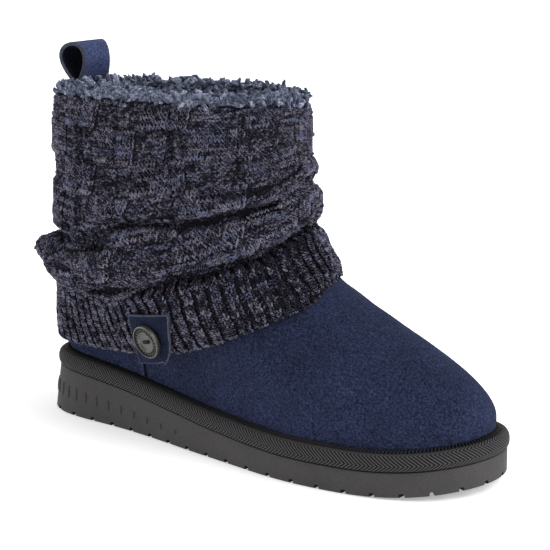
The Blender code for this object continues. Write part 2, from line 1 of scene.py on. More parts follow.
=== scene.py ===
"""Looks of the knit-cuff suede boot: suede, stitches, pile, tape, rubber and button.

Metres, in the row frame. The shapes of the boot are worked out in the maker's frame, whose X is 0 at the
back of the sole, and place() moves them into the row frame.
"""

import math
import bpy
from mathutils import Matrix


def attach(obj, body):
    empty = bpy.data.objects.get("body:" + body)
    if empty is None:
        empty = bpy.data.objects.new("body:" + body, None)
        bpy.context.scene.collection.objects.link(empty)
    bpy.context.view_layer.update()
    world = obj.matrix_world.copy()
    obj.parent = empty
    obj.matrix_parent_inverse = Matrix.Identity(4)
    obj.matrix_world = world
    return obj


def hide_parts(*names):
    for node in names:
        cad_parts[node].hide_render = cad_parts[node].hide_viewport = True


bl_info = {
    "name": "Knit cuff boot",
    "version": (1, 0, 0),
    "blender": (4, 5, 0),
    "location": "View3D > Sidebar > Boot",
    "description": "Dresses a suede ankle boot with a slouched knit cuff",
    "category": "Object",
}

import bpy
import numpy as np
from mathutils import Matrix, Vector

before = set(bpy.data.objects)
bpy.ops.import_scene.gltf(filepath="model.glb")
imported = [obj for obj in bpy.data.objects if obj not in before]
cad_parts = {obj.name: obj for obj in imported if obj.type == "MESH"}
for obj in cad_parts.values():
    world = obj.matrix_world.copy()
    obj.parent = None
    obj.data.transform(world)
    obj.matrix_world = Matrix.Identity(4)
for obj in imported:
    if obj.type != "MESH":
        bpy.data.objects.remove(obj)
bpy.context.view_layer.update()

# Sizes of the boot, as its solids have them
SOLE_LENGTH = 0.275
BALL_WIDTH = 0.098
HEEL_WIDTH = 0.070
HEEL_RUBBER = 0.0256
FOREFOOT_RUBBER = 0.0126
TOE_SPRING = 0.005
HEEL_FLARE = 0.003
SOLE_EDGE = 0.0008
NOTCH_WIDTH = 0.0026
NOTCH_DEPTH = 0.0022
NOTCH_REACH = 0.007
NOTCH_PAST = 0.004
NOTCHES_PER_SIDE = 22
TOE_NOTCHES = 3
BINDING_HEIGHT = 0.0083
BINDING_BULGE = 0.0010
BINDING_WIDTH = 0.0064
UPPER_WALL = 0.002
COLLAR_HEIGHT = 0.168
SHAFT_LENGTH = 0.143
SHAFT_WIDTH = 0.0865
SHAFT_BACK = 0.010
HEEL_BULGE = 0.003
SEAM_PLACE = 0.281
SEAM_WIDTH = 0.0042
SEAM_FOOT = 1.3 * SEAM_WIDTH
SEAM_RAISE = 0.0007
SKIN_ROUND = 1.1 * math.pi * SOLE_LENGTH
FOOTBED_RECESS = 0.0008
CUFF_WALL = 0.0042
CUFF_SLACK = 0.0009
CUFF_TOP = 0.006
CUFF_TWIST = 0.05
RIM_TILT = 0.005
HEM_BACK = 0.039
HEM_FRONT = 0.098
FOLD_DEPTH = 0.012
LINING_WALL = 0.0065
LINING_DEPTH = 0.066
ROLL_HEIGHT = 0.013
ROLL_LAP = 0.0035
LOOP_WIDTH = 0.026
LOOP_WALL = 0.0021
LOOP_RISE = 0.0335
LOOP_DEPTH = 0.013
LOOP_LEAN = 0.56
LOOP_TAIL = 0.016
TAB_WIDTH = 0.0285
TAB_HEIGHT = 0.028
TAB_CLIMB_LOW = 0.008
TAB_CLIMB_HIGH = 0.003
TAB_WALL = 0.0016
TAB_BELOW_HEM = 0.0045
TAB_PLACE = 0.368
BUTTON_UP = 0.03
BUTTON_WIDTH = 0.0182
BUTTON_HEIGHT = 0.0034
BUTTON_DISH = 0.0009
BUTTON_HOLE = 0.0019
BUTTON_HOLE_PITCH = 0.0042
CLEAR = 0.0003
# From the maker's frame to the row frame
MOVE = np.array((-0.13424, 0.00064, 0.0))

# Sizes that only the looks have, in metres unless a comment says otherwise
BUTTON_DASHES = 24
HEEL_RIBS = 33
RIBS_REACH = 0.215  # in turns, each way from the back
RIB_FOOT = 0.34  # share of the rubber's height
RIB_LENGTH = 0.38  # share of the rubber's height, at the back
RIB_FADE = 0.55  # share of its length that the last rib has lost
RIB_WIDTH = 0.0016
RIB_RAISE = 0.0013
SEAM_STITCH = 0.0009
PUCKER = 0.00022
LEG_ROUND = 0.4  # about the way round the leg, for the distance to a crease
DEEP_TROUGH = 0.0025  # deeper ones make the knit puff up beside them
TROUGH_PUFF = 0.34  # share of a deep trough's depth
# depth of a trough at which the painted shade on the yarn in it is full
DARKEST_TROUGH = 0.0045
LEAST_CUFF = 0.0024
BACKING_SINK = 0.0016
STITCH_SINK = 0.0008
STITCH_THICK = 0.0018
BLOCK_PROUD = 0.0005
RIB_KNIT_PROUD = 0.0006
RIB_PURL_SUNK = 0.0010
BLOCK_EDGE = 0.0006
YARN_RUNS = 110
RUN_LENGTH = 8  # in stitches
CLUMP_SPREAD = 0.40  # length round the lining that the clumps are spread over
TAB_CURL = 0.0060
FINE_BEVEL = 0.0003

# Camera solved from the photograph: degrees, metres, and pixels for the lens
CAMERA_AZIMUTH = 38.14
CAMERA_ELEVATION = 13.2
CAMERA_ROLL = -0.24
CAMERA_DISTANCE = 0.897
CAMERA_AIM = (0.1437, 0, 0.0894)
HALF_PICTURE = 275
FOCAL_LENGTH = 1741.2


def table(columns, *rows):
    """Named columns over rows of numbers."""
    return dict(zip(columns.split(), np.array(rows, float).T))


# Plan of the sole. Along is a share of its length, lateral and medial are half widths,
# and centre is how far the middle lies to the medial side, all as shares of the local width.
PLAN = table(
    "along lateral medial centre",
    (0.00, 0.000, 0.000, 0.000),
    (0.012, 0.275, 0.275, 0.000),
    (0.05, 0.430, 0.430, 0.000),
    (0.11, 0.492, 0.492, 0.000),
    (0.18, 0.500, 0.500, 0.000),
    (0.40, 0.495, 0.455, 0.000),
    (0.55, 0.482, 0.458, 0.000),
    (0.68, 0.488, 0.485, 0.003),
    (0.78, 0.470, 0.470, 0.012),
    (0.87, 0.425, 0.412, 0.030),
    (0.94, 0.330, 0.322, 0.045),
    (0.98, 0.200, 0.200, 0.050),
    (1.00, 0.000, 0.000, 0.050),
)

# Wedge of the rubber: 1 is the heel's height, 0 the forefoot's.
WEDGE = table(
    "along share",
    (0.00, 1.00),
    (0.12, 0.88),
    (0.35, 0.46),
    (0.58, 0.07),
    (0.70, 0.00),
    (1.00, 0.00),
)

# Side profile and sections of the upper by rise, the share of the way from the feather line to
# the collar. Reach is 1 at the toe and 0 at the front of the shaft, and bulge is the heel's.
# Leg is 0 where a section follows the foot and 1 where it is the shaft's oval, and girth is the
# oval's width.
SIDE = table(
    "rise reach bulge leg girth",
    (0.00, 1.000, 0.00, 0.00, 0.95),
    (0.05, 1.002, 0.32, 0.05, 0.96),
    (0.085, 0.991, 0.52, 0.12, 0.97),
    (0.128, 0.955, 0.74, 0.25, 0.98),
    (0.170, 0.900, 0.90, 0.41, 1.00),
    (0.213, 0.822, 0.99, 0.56, 1.00),
    (0.262, 0.710, 1.00, 0.72, 1.00),
    (0.326, 0.542, 0.93, 0.89, 1.00),
    (0.397, 0.349, 0.76, 0.98, 1.00),
    (0.468, 0.180, 0.55, 1.00, 1.00),
    (0.520, 0.108, 0.42, 1.00, 1.00),
    (0.589, 0.048, 0.27, 1.00, 1.00),
    (0.660, 0.022, 0.15, 1.00, 1.00),
    (0.766, 0.013, 0.05, 1.00, 1.00),
    (0.880, 0.004, 0.00, 1.00, 1.00),
    (1.000, 0.000, 0.00, 1.00, 1.00),
)

# Climb of the cuff's hem from HEM_BACK, 0, to HEM_FRONT, 1. Turn goes from the heel by the
# lateral side to the toe, 0.5, and back by the medial side.
HEM = table(
    "turn climb",
    (0.00, 0.00),
    (0.07, 0.02),
    (0.15, 0.05),
    (0.20, 0.13),
    (0.24, 0.25),
    (0.30, 0.45),
    (0.38, 0.66),
    (0.43, 0.75),
    (0.46, 0.81),
    (0.50, 0.86),
    (0.55, 0.87),
    (0.60, 0.82),
    (0.68, 0.66),
    (0.77, 0.38),
    (0.86, 0.12),
    (1.00, 0.00),
)

# Folds of the cuff round the leg. Turn is 0 at the back, 0.25 lateral, 0.5 at the front and 0.75
# medial. The creases, from low to high, are heights as shares of the collar's. Lifts are how far
# each crease stands off the leg, swells how far the knit between two creases stands out, and
# droop how far the big pleat hangs down, all as shares of the fold depth.
FOLDS = table(
    "turn low middle high lift_low lift_middle lift_high swell_rib pleat droop swell_mid swell_top",
    (0.000, 0.500, 0.595, 0.800, 0.05, 0.00, 0.05, 0.10, 0.82, 0.05, 0.10, 0.08),
    (0.070, 0.500, 0.595, 0.800, 0.05, 0.00, 0.05, 0.10, 0.88, 0.05, 0.10, 0.08),
    (0.140, 0.455, 0.590, 0.800, 0.05, 0.02, 0.05, 0.12, 0.72, 0.30, 0.12, 0.08),
    (0.200, 0.455, 0.630, 0.800, 0.04, 0.04, 0.08, 0.14, 0.60, 0.45, 0.15, 0.08),
    (0.250, 0.503, 0.696, 0.820, 0.02, 0.02, 0.12, 0.15, 0.55, 0.50, 0.16, 0.10),
    (0.330, 0.560, 0.720, 0.835, 0.02, 0.00, 0.12, 0.18, 0.46, 0.40, 0.18, 0.10),
    (0.420, 0.620, 0.774, 0.860, 0.00, 0.00, 0.05, 0.18, 0.36, 0.28, 0.16, 0.06),
    (0.500, 0.680, 0.839, 0.885, 0.00, 0.05, 0.00, 0.14, 0.26, 0.10, 0.10, 0.02),
    (0.580, 0.675, 0.830, 0.885, 0.00, 0.05, 0.00, 0.14, 0.26, 0.10, 0.10, 0.02),
    (0.670, 0.600, 0.760, 0.850, 0.02, 0.00, 0.10, 0.18, 0.38, 0.30, 0.16, 0.08),
    (0.770, 0.530, 0.700, 0.820, 0.04, 0.02, 0.12, 0.15, 0.48, 0.40, 0.16, 0.10),
    (0.880, 0.500, 0.640, 0.800, 0.05, 0.02, 0.08, 0.12, 0.65, 0.25, 0.14, 0.08),
    (1.000, 0.500, 0.595, 0.800, 0.05, 0.00, 0.05, 0.10, 0.82, 0.05, 0.10, 0.08),
)

# Tilt of the cuff's top edge and of the pile roll over it, as a share of RIM_TILT.
RIM = table(
    "turn lift",
    (0.00, 0.00),
    (0.12, 0.45),
    (0.25, 1.00),
    (0.38, 0.90),
    (0.50, 0.65),
    (0.62, 0.30),
    (0.75, 0.10),
    (1.00, 0.00),
)


def slopes(x, y, round_trip):
    """Slopes at the knots of a cubic through them that doesn't overshoot."""
    step = np.diff(x)
    chord = np.diff(y) / step
    if round_trip:
        step = np.concatenate([[step[-1]], step, [step[0]]])
        chord = np.concatenate([[chord[-1]], chord, [chord[0]]])
    else:
        step = np.concatenate([[step[0]], step, [step[-1]]])
        chord = np.concatenate([[chord[0]], chord, [chord[-1]]])
    before, after = chord[:-1], chord[1:]
    mean = (before * step[1:] + after * step[:-1]) / (step[1:] + step[:-1])
    limit = 3 * np.minimum(abs(before), abs(after))
    return np.where(before * after > 0, np.clip(mean, -limit, limit), 0)


def curve(rows, column, at, key, round_trip=False):
    """A smooth curve through one column of a table, read at the values in at."""
    x, y = rows[key], rows[column]
    slope = slopes(x, y, round_trip)
    at = np.clip(at, x[0], x[-1])
    i = np.clip(np.searchsorted(x, at, side="right") - 1, 0, len(x) - 2)
    step = x[i + 1] - x[i]
    t = (at - x[i]) / step
    rise = y[i + 1] - y[i]
    start, end = slope[i] * step, slope[i + 1] * step
    return y[i] + t * (start + t * ((3 * rise - 2 * start - end) + t * (start + end - 2 * rise)))


def smooth(low, high, at):
    """0 below low, 1 above high, and an S between."""
    t = np.clip((at - low) / (high - low), 0, 1)
    return t * t * (3 - 2 * t)


def along(turn):
    """Share of the sole's length at a turn round the boot: 0 at the heel, 1 at the toe."""
    return (1 - np.cos(2 * math.pi * turn)) / 2


def plan_point(turn):
    """(x, y) on the sole's outline. Turn goes from the heel along the lateral side to the toe."""
    share = along(turn)
    rows = dict(PLAN, arc=np.arccos(1 - 2 * PLAN["along"]))
    arc = np.arccos(np.clip(1 - 2 * share, -1, 1))
    width = HEEL_WIDTH + (BALL_WIDTH - HEEL_WIDTH) * smooth(0.2, 0.68, share)
    half = np.where(
        turn % 1 < 0.5, -curve(rows, "lateral", arc, "arc"), curve(rows, "medial", arc, "arc")
    )
    return np.stack([SOLE_LENGTH * share, width * (half + curve(rows, "centre", arc, "arc"))], -1)


def outline(turn, inset):
    """(x, y) on the sole's outline, moved inwards by inset."""
    turn = np.asarray(turn, float)
    ahead = plan_point(turn + 1e-4) - plan_point(turn - 1e-4)
    ahead /= np.linalg.norm(ahead, axis=-1, keepdims=True)
    inwards = np.stack([-ahead[..., 1], ahead[..., 0]], -1)
    return plan_point(turn) + inwards * np.asarray(inset)[..., None]


def flare(turn):
    return HEEL_FLARE * (1 - smooth(0.0, 0.5, along(turn)))


def sole_bottom(turn):
    return TOE_SPRING * np.clip((along(turn) - 0.78) / 0.22, 0, 1) ** 2


def rubber_top(turn):
    share = curve(WEDGE, "share", along(turn), "along")
    return sole_bottom(turn) + FOREFOOT_RUBBER + (HEEL_RUBBER - FOREFOOT_RUBBER) * share


def feather_height(turn):
    """Height of the line where the upper comes out of the binding."""
    return rubber_top(turn) + CLEAR + BINDING_HEIGHT


def seam_turns():
    lateral = math.acos(1 - 2 * SEAM_PLACE) / (2 * math.pi)
    return lateral, 1 - lateral


def seam_raise(turn):
    steps = 0
    for centre in seam_turns():
        off = abs(turn - centre) * SKIN_ROUND
        steps = steps + (1 - smooth(SEAM_WIDTH / 2, SEAM_FOOT / 2, off))
    return SEAM_RAISE * steps


def skin_base(turn, rise):
    """A point of the suede's outer face, without the seams."""
    base = outline(turn, flare(turn) + BINDING_WIDTH - BINDING_BULGE + CLEAR)
    tips = np.array([0.0, 0.5])
    heel, toe = outline(tips, flare(tips) + BINDING_WIDTH - BINDING_BULGE + CLEAR)[:, 0]
    share = (base[..., 0] - heel) / (toe - heel)
    reach = curve(SIDE, "reach", rise, "rise")
    leg = curve(SIDE, "leg", rise, "rise")
    shaft_front = SHAFT_BACK + SHAFT_LENGTH
    front = shaft_front + (toe - shaft_front) * reach
    back = heel + (SHAFT_BACK - heel) * leg - HEEL_BULGE * curve(SIDE, "bulge", rise, "rise")
    oval = -SHAFT_WIDTH / 2 * curve(SIDE, "girth", rise, "rise") * np.sin(2 * math.pi * turn)
    foot = feather_height(turn)
    height = foot + rise * (COLLAR_HEIGHT - foot)
    return np.stack([back + (front - back) * share, base[..., 1] * (1 - leg) + oval * leg, height], -1)


def skin(turn, rise, out):
    """A point at a distance out from the suede's outer face. Turn and rise are arrays alike."""
    turn, rise = np.broadcast_arrays(np.asarray(turn, float), np.asarray(rise, float))
    across = skin_base(turn + 1e-4, rise) - skin_base(turn - 1e-4, rise)
    upwards = skin_base(turn, rise + 1e-4) - skin_base(turn, rise - 1e-4)
    normal = np.cross(across, upwards)
    normal /= np.linalg.norm(normal, axis=-1, keepdims=True)
    return skin_base(turn, rise) + normal * np.asarray(out)[..., None]


def rise_at(turn, height):
    foot = feather_height(turn)
    return (height - foot) / (COLLAR_HEIGHT - foot)


def hem_height(turn):
    climb = curve(HEM, "climb", np.asarray(turn) % 1, "turn", round_trip=True)
    return HEM_BACK + (HEM_FRONT - HEM_BACK) * climb


def fold(column, turn):
    return curve(FOLDS, column, np.asarray(turn) % 1, "turn", round_trip=True)


def rim(turn):
    return RIM_TILT * curve(RIM, "lift", np.asarray(turn) % 1, "turn", round_trip=True)


# Soft troughs and ridges of the cuff, listed one by one: how far the knit moves out and the width there,
# then the turns and heights of the line it follows.
DENTS = (
    (-0.0060, 0.0030, (0.0, 0.0995, 0.06, 0.0995, 0.13, 0.1000, 0.175, 0.1016, 0.218, 0.1020)),
    (-0.0042, 0.0017, (0.235, 0.1150, 0.263, 0.1167, 0.288, 0.1181, 0.313, 0.1187, 0.35, 0.1213,
                       0.387, 0.1250, 0.413, 0.1269, 0.448, 0.1301)),
    (0.0016, 0.0045, (0.24, 0.1230, 0.31, 0.1262, 0.37, 0.1300, 0.43, 0.1335)),
    (-0.0044, 0.0017, (0.193, 0.0798, 0.248, 0.0845, 0.267, 0.0866, 0.30, 0.0909, 0.333, 0.0944,
                       0.365, 0.0983, 0.397, 0.1017, 0.425, 0.1046, 0.443, 0.1077, 0.473, 0.1118,
                       0.512, 0.1138)),
    (0.0016, 0.0042, (0.30, 0.0985, 0.36, 0.1050, 0.42, 0.1120, 0.47, 0.1190)),
    (-0.0026, 0.0018, (0.352, 0.1349, 0.40, 0.1363, 0.435, 0.1382, 0.477, 0.1419, 0.507, 0.1466)),
    (-0.0030, 0.0040, (0.150, 0.1075, 0.197, 0.1065, 0.230, 0.1085)),
    (-0.0022, 0.0045, (0.125, 0.1070, 0.160, 0.1090)),
    (-0.0014, 0.0040, (0.205, 0.1450, 0.235, 0.1380)),
    (0.0012, 0.0070, (0.20, 0.1250, 0.23, 0.1290)),
    (-0.0034, 0.0028, (0.55, 0.1380, 0.67, 0.1277, 0.77, 0.1176, 0.88, 0.1075, 0.95, 0.1000,
                       1.0, 0.0995)),
    (-0.0030, 0.0026, (0.56, 0.1150, 0.67, 0.1010, 0.77, 0.0890, 0.88, 0.0840, 0.96, 0.0830)),
    (-0.0020, 0.0032, (0.62, 0.1500, 0.72, 0.1430, 0.80, 0.1440)),
    (-0.0018, 0.0034, (0.88, 0.1440, 0.95, 0.1380)),
    (-0.0013, 0.0015, (0.190, 0.1740, 0.188, 0.1060)),
    (-0.0013, 0.0015, (0.247, 0.1700, 0.247, 0.1240)),
    (-0.0016, 0.0016, (0.317, 0.1770, 0.317, 0.1240)),
    (-0.0012, 0.0015, (0.405, 0.1760, 0.394, 0.1380)),
)


def dents(turn, height):
    """How far the soft troughs and ridges move the cuff out, and how deep in a trough each point is,
    from 0 to 1, which darkens the yarn there as painted shade. The knit puffs up on both sides of a deep
    trough."""
    moved = np.zeros(np.broadcast(turn, height).shape)
    deep = moved.copy()
    for out, width, line in DENTS:
        nearest = np.full(moved.shape, 1.0)
        knots = list(zip(line[::2], line[1::2]))
        for (a, low), (b, high) in zip(knots, knots[1:]):
            du, dv = (b - a) * LEG_ROUND, high - low
            pu, pv = (turn % 1 - a) * LEG_ROUND, height - low
            share = np.clip((pu * du + pv * dv) / (du * du + dv * dv), 0, 1)
            nearest = np.minimum(nearest, np.hypot(pu - du * share, pv - dv * share))
        hollow = np.exp(-((nearest / width) ** 2))
        moved += out * hollow
        if out < -DEEP_TROUGH:
            moved -= TROUGH_PUFF * out * np.exp(-(((nearest - 2.5 * width) / (1.4 * width)) ** 2))
        if out < 0:
            deep = np.maximum(deep, hollow * min(1, -out / DARKEST_TROUGH))
    return moved, deep


def cuff_point(turn, level):
    """A point of the cuff's outer face: level 0 at the hem, 1, 2 and 3 at the creases, 4 at the top.
    Below 0 it rolls in under the hem, and above 4 in over the top edge."""
    zero = np.zeros(np.shape(turn))
    heights = [
        hem_height(turn),
        fold("low", turn) * COLLAR_HEIGHT,
        fold("middle", turn) * COLLAR_HEIGHT,
        fold("high", turn) * COLLAR_HEIGHT,
        COLLAR_HEIGHT + CUFF_TOP + rim(turn),
    ]
    gap = CUFF_SLACK + seam_raise(turn)
    if level < 0 or level > 4:
        angle = math.pi * min(1, -level if level < 0 else level - 4)
        radius = CUFF_WALL / 2
        out = gap + radius * (1 + math.cos(angle))
        up = radius * 0.8 * math.sin(angle)
        height = heights[0] - up + radius * 0.8 if level < 0 else heights[4] + up - radius * 0.8
        point = skin(turn, rise_at(turn, np.minimum(height, COLLAR_HEIGHT)), out)
        point[..., 2] = height
        return point
    lifts = [zero, fold("lift_low", turn), fold("lift_middle", turn), fold("lift_high", turn), zero]
    swells = [fold(c, turn) for c in ("swell_rib", "pleat", "swell_mid", "swell_top")]
    band = min(int(level), 3)
    part = level - band
    hump = (4 * part * (1 - part)) ** 0.8
    height = heights[band] + (heights[band + 1] - heights[band]) * part
    lift = lifts[band] + (lifts[band + 1] - lifts[band]) * part
    stand_off = FOLD_DEPTH * (lift + swells[band] * hump)
    sag = FOLD_DEPTH * fold("droop", turn) * hump if band == 1 else zero
    if level < 0.15:
        height = height + CUFF_WALL * 0.4 * (1 - level / 0.15)
    if level > 3.85:
        height = height - CUFF_WALL * 0.4 * (level - 3.85) / 0.15
    out = gap + np.maximum(CUFF_WALL + stand_off + dents(turn, height - sag)[0], LEAST_CUFF)
    point = skin(turn, rise_at(turn, height), out)
    point[..., 2] -= sag
    return point


def tab_stand_off(turn):
    """How far the tab stands off the suede: on the cuff's ribbed band, where it is thickest."""
    folds = fold("swell_rib", turn) + fold("lift_low", turn)
    return CUFF_SLACK + CUFF_WALL + FOLD_DEPTH * folds + CLEAR


def turn_at(x, height):
    """Turn on the lateral side where the suede at a height is at x."""
    fine = np.linspace(0.02, 0.48, 400)
    pairs = np.broadcast(x, np.asarray(height, float))
    places = [np.interp(px, skin_base(fine, rise_at(fine, h))[:, 0], fine) for px, h in pairs]
    return np.array(places).reshape(pairs.shape)


def tab_point(across, up, out):
    """A point over the tab: across and up go from -1 at its back and lower edges to 1."""
    x = TAB_PLACE * SOLE_LENGTH
    forward, upward = (1 + across) / 2, (1 + up) / 2
    low = float(hem_height(turn_at(x, HEM_BACK))) - TAB_BELOW_HEM + TAB_CLIMB_LOW * forward
    high = low + TAB_HEIGHT + (TAB_CLIMB_HIGH - TAB_CLIMB_LOW) * forward
    height = low + (high - low) * upward
    turn = turn_at(x + TAB_WIDTH / 2 * across, height)
    return skin(turn, rise_at(turn, height), tab_stand_off(turn) + out)


# Meshes


def lengths(line):
    """Length along a line of points up to each of them."""
    return np.concatenate([[0], np.cumsum(np.linalg.norm(np.diff(line, axis=0), axis=-1))])


def raised(plan, height):
    """The points of a plan, each at its height."""
    return np.concatenate([plan, height[:, None]], -1)


def mesh_piece(name, points, faces, uv=None, replaces=(), slot=None):
    """A piece from arrays: points in the maker's frame, faces of three or four corners each."""
    mesh = bpy.data.meshes.new(name)
    points = np.asarray(points, float).reshape(-1, 3) + MOVE
    faces = np.asarray(faces)
    corners = faces.shape[1]
    mesh.vertices.add(len(points))
    mesh.vertices.foreach_set("co", points.ravel())
    mesh.loops.add(faces.size)
    mesh.loops.foreach_set("vertex_index", faces.ravel().astype(np.int32))
    mesh.polygons.add(len(faces))
    mesh.polygons.foreach_set("loop_start", np.arange(0, faces.size, corners, dtype=np.int32))
    if uv is not None:
        layer = mesh.uv_layers.new(name="UVMap")
        layer.data.foreach_set("uv", np.asarray(uv, float).ravel())
    mesh.update(calc_edges=True)
    mesh.validate()
    mesh.polygons.foreach_set("use_smooth", np.ones(len(mesh.polygons), bool))
    piece = bpy.data.objects.new(name, mesh)
    bpy.context.collection.objects.link(piece)
    return settle(piece, replaces)


def settle(piece, replaces=()):
    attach(piece, "root")
    if replaces:
        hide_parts(*replaces)
    return piece


def quads(rows, columns, round_rows, round_columns):
    """Row and column of the first corner of each quad of a grid."""
    r = np.arange(rows if round_rows else rows - 1)
    c = np.arange(columns if round_columns else columns - 1)
    return np.meshgrid(r, c, indexing="ij")


def grid_faces(rows, columns, round_rows, round_columns):
    """Corner numbers of the quads of a grid, facing out for rows going up and turns going round."""
    r, c = quads(rows, columns, round_rows, round_columns)
    up, on = (r + 1) % rows, (c + 1) % columns
    faces = np.stack([r * columns + c, r * columns + on, up * columns + on, up * columns + c], -1)
    return faces.reshape(-1, 4)


def grid_uv(points, round_rows, round_columns):
    """UV of each corner in metres: u round the boot and v along the section."""
    rows, columns = points.shape[:2]
    wide = np.concatenate([points, points[:, :1]], 1) if round_columns else points
    tall = np.concatenate([points, points[:1]], 0) if round_rows else points
    u, v = lengths(wide[rows // 2]), lengths(tall[:, columns // 3])
    r, c = quads(rows, columns, round_rows, round_columns)
    uu = np.stack([u[c], u[c + 1], u[c + 1], u[c]], -1)
    vv = np.stack([v[r], v[r], v[r + 1], v[r + 1]], -1)
    return np.stack([uu, vv], -1)


def ring(name, rows, **known):
    """A closed ring from rows of points that go up the outside and down the inside."""
    points = np.stack(rows)
    faces = grid_faces(*points.shape[:2], True, True)
    return mesh_piece(name, points, faces, grid_uv(points, True, True), **known)


def select_only(piece):
    bpy.ops.object.select_all(action="DESELECT")
    piece.select_set(True)
    bpy.context.view_layer.objects.active = piece


def apply_all(piece):
    select_only(piece)
    for modifier in list(piece.modifiers):
        bpy.ops.object.modifier_apply(modifier=modifier.name)


def join(pieces):
    """Joins pieces into the first of them."""
    select_only(pieces[0])
    for piece in pieces:
        piece.select_set(True)
    bpy.ops.object.join()
    return bpy.context.object


def cut(piece, cutter):
    """Cuts the cutter's shape out of a piece, and removes the cutter."""
    cutting = piece.modifiers.new("cut", "BOOLEAN")
    cutting.operation, cutting.solver, cutting.object = "DIFFERENCE", "EXACT", cutter
    apply_all(piece)
    bpy.data.objects.remove(cutter)


def soften(piece, width, degrees):
    """Rounds the edges where a piece turns by more than so many degrees."""
    bevel = piece.modifiers.new("soft edge", "BEVEL")
    bevel.width, bevel.segments, bevel.angle_limit = width, 2, math.radians(degrees)
    apply_all(piece)


def mark_points(piece, name, values):
    """Keeps a colour for each point in an attribute."""
    layer = piece.data.attributes.new(name, "FLOAT_COLOR", "POINT")
    layer.data.foreach_set("color", values.ravel())


def capsule(segments, rings):
    """One plump strand of unit size, its length along Y, modelled once to be copied:
    points, triangles, and the UV of their corners."""
    bpy.ops.object.select_all(action="DESELECT")
    bpy.ops.mesh.primitive_uv_sphere_add(segments=segments, ring_count=rings, radius=0.5)
    strand = bpy.context.object
    bpy.ops.object.mode_set(mode="EDIT")
    bpy.ops.mesh.select_all(action="SELECT")
    bpy.ops.mesh.quads_convert_to_tris()
    bpy.ops.object.mode_set(mode="OBJECT")
    mesh = strand.data
    points = np.empty(len(mesh.vertices) * 3)
    mesh.vertices.foreach_get("co", points)
    points = points.reshape(-1, 3)
    points = np.stack([points[:, 0], points[:, 2], -points[:, 1]], -1)
    faces = np.empty(len(mesh.loops), np.int32)
    mesh.loops.foreach_get("vertex_index", faces)
    uv = np.empty(len(mesh.loops) * 2)
    mesh.uv_layers[0].data.foreach_get("uv", uv)
    bpy.data.objects.remove(strand)
    return points, faces.reshape(-1, 3), uv.reshape(-1, 3, 2)


def strands(name, shape, at, long, wide, thick, values=None, **known):
    """Copies of a strand, joined: at is the middle of each, and long, wide and thick its half axes
    times two as vectors. Values is a colour for each, kept in the attribute strand."""
    points, faces, uv = shape
    count = len(at)
    local = (
        points[None, :, 0:1] * wide[:, None]
        + points[None, :, 1:2] * long[:, None]
        + points[None, :, 2:3] * thick[:, None]
    )
    everything = at[:, None] + local
    numbers = faces[None] + (np.arange(count) * len(points))[:, None, None]
    piece = mesh_piece(
        name, everything, numbers.reshape(-1, 3), np.broadcast_to(uv, (count, *uv.shape)), **known
    )
    if values is not None:
        colour = np.concatenate([values, np.ones((count, 1))], 1)
        mark_points(piece, "strand", np.repeat(colour, len(points), axis=0))
    return piece


def unit(vectors):
    return vectors / np.maximum(np.linalg.norm(vectors, axis=-1, keepdims=True), 1e-12)


# Materials


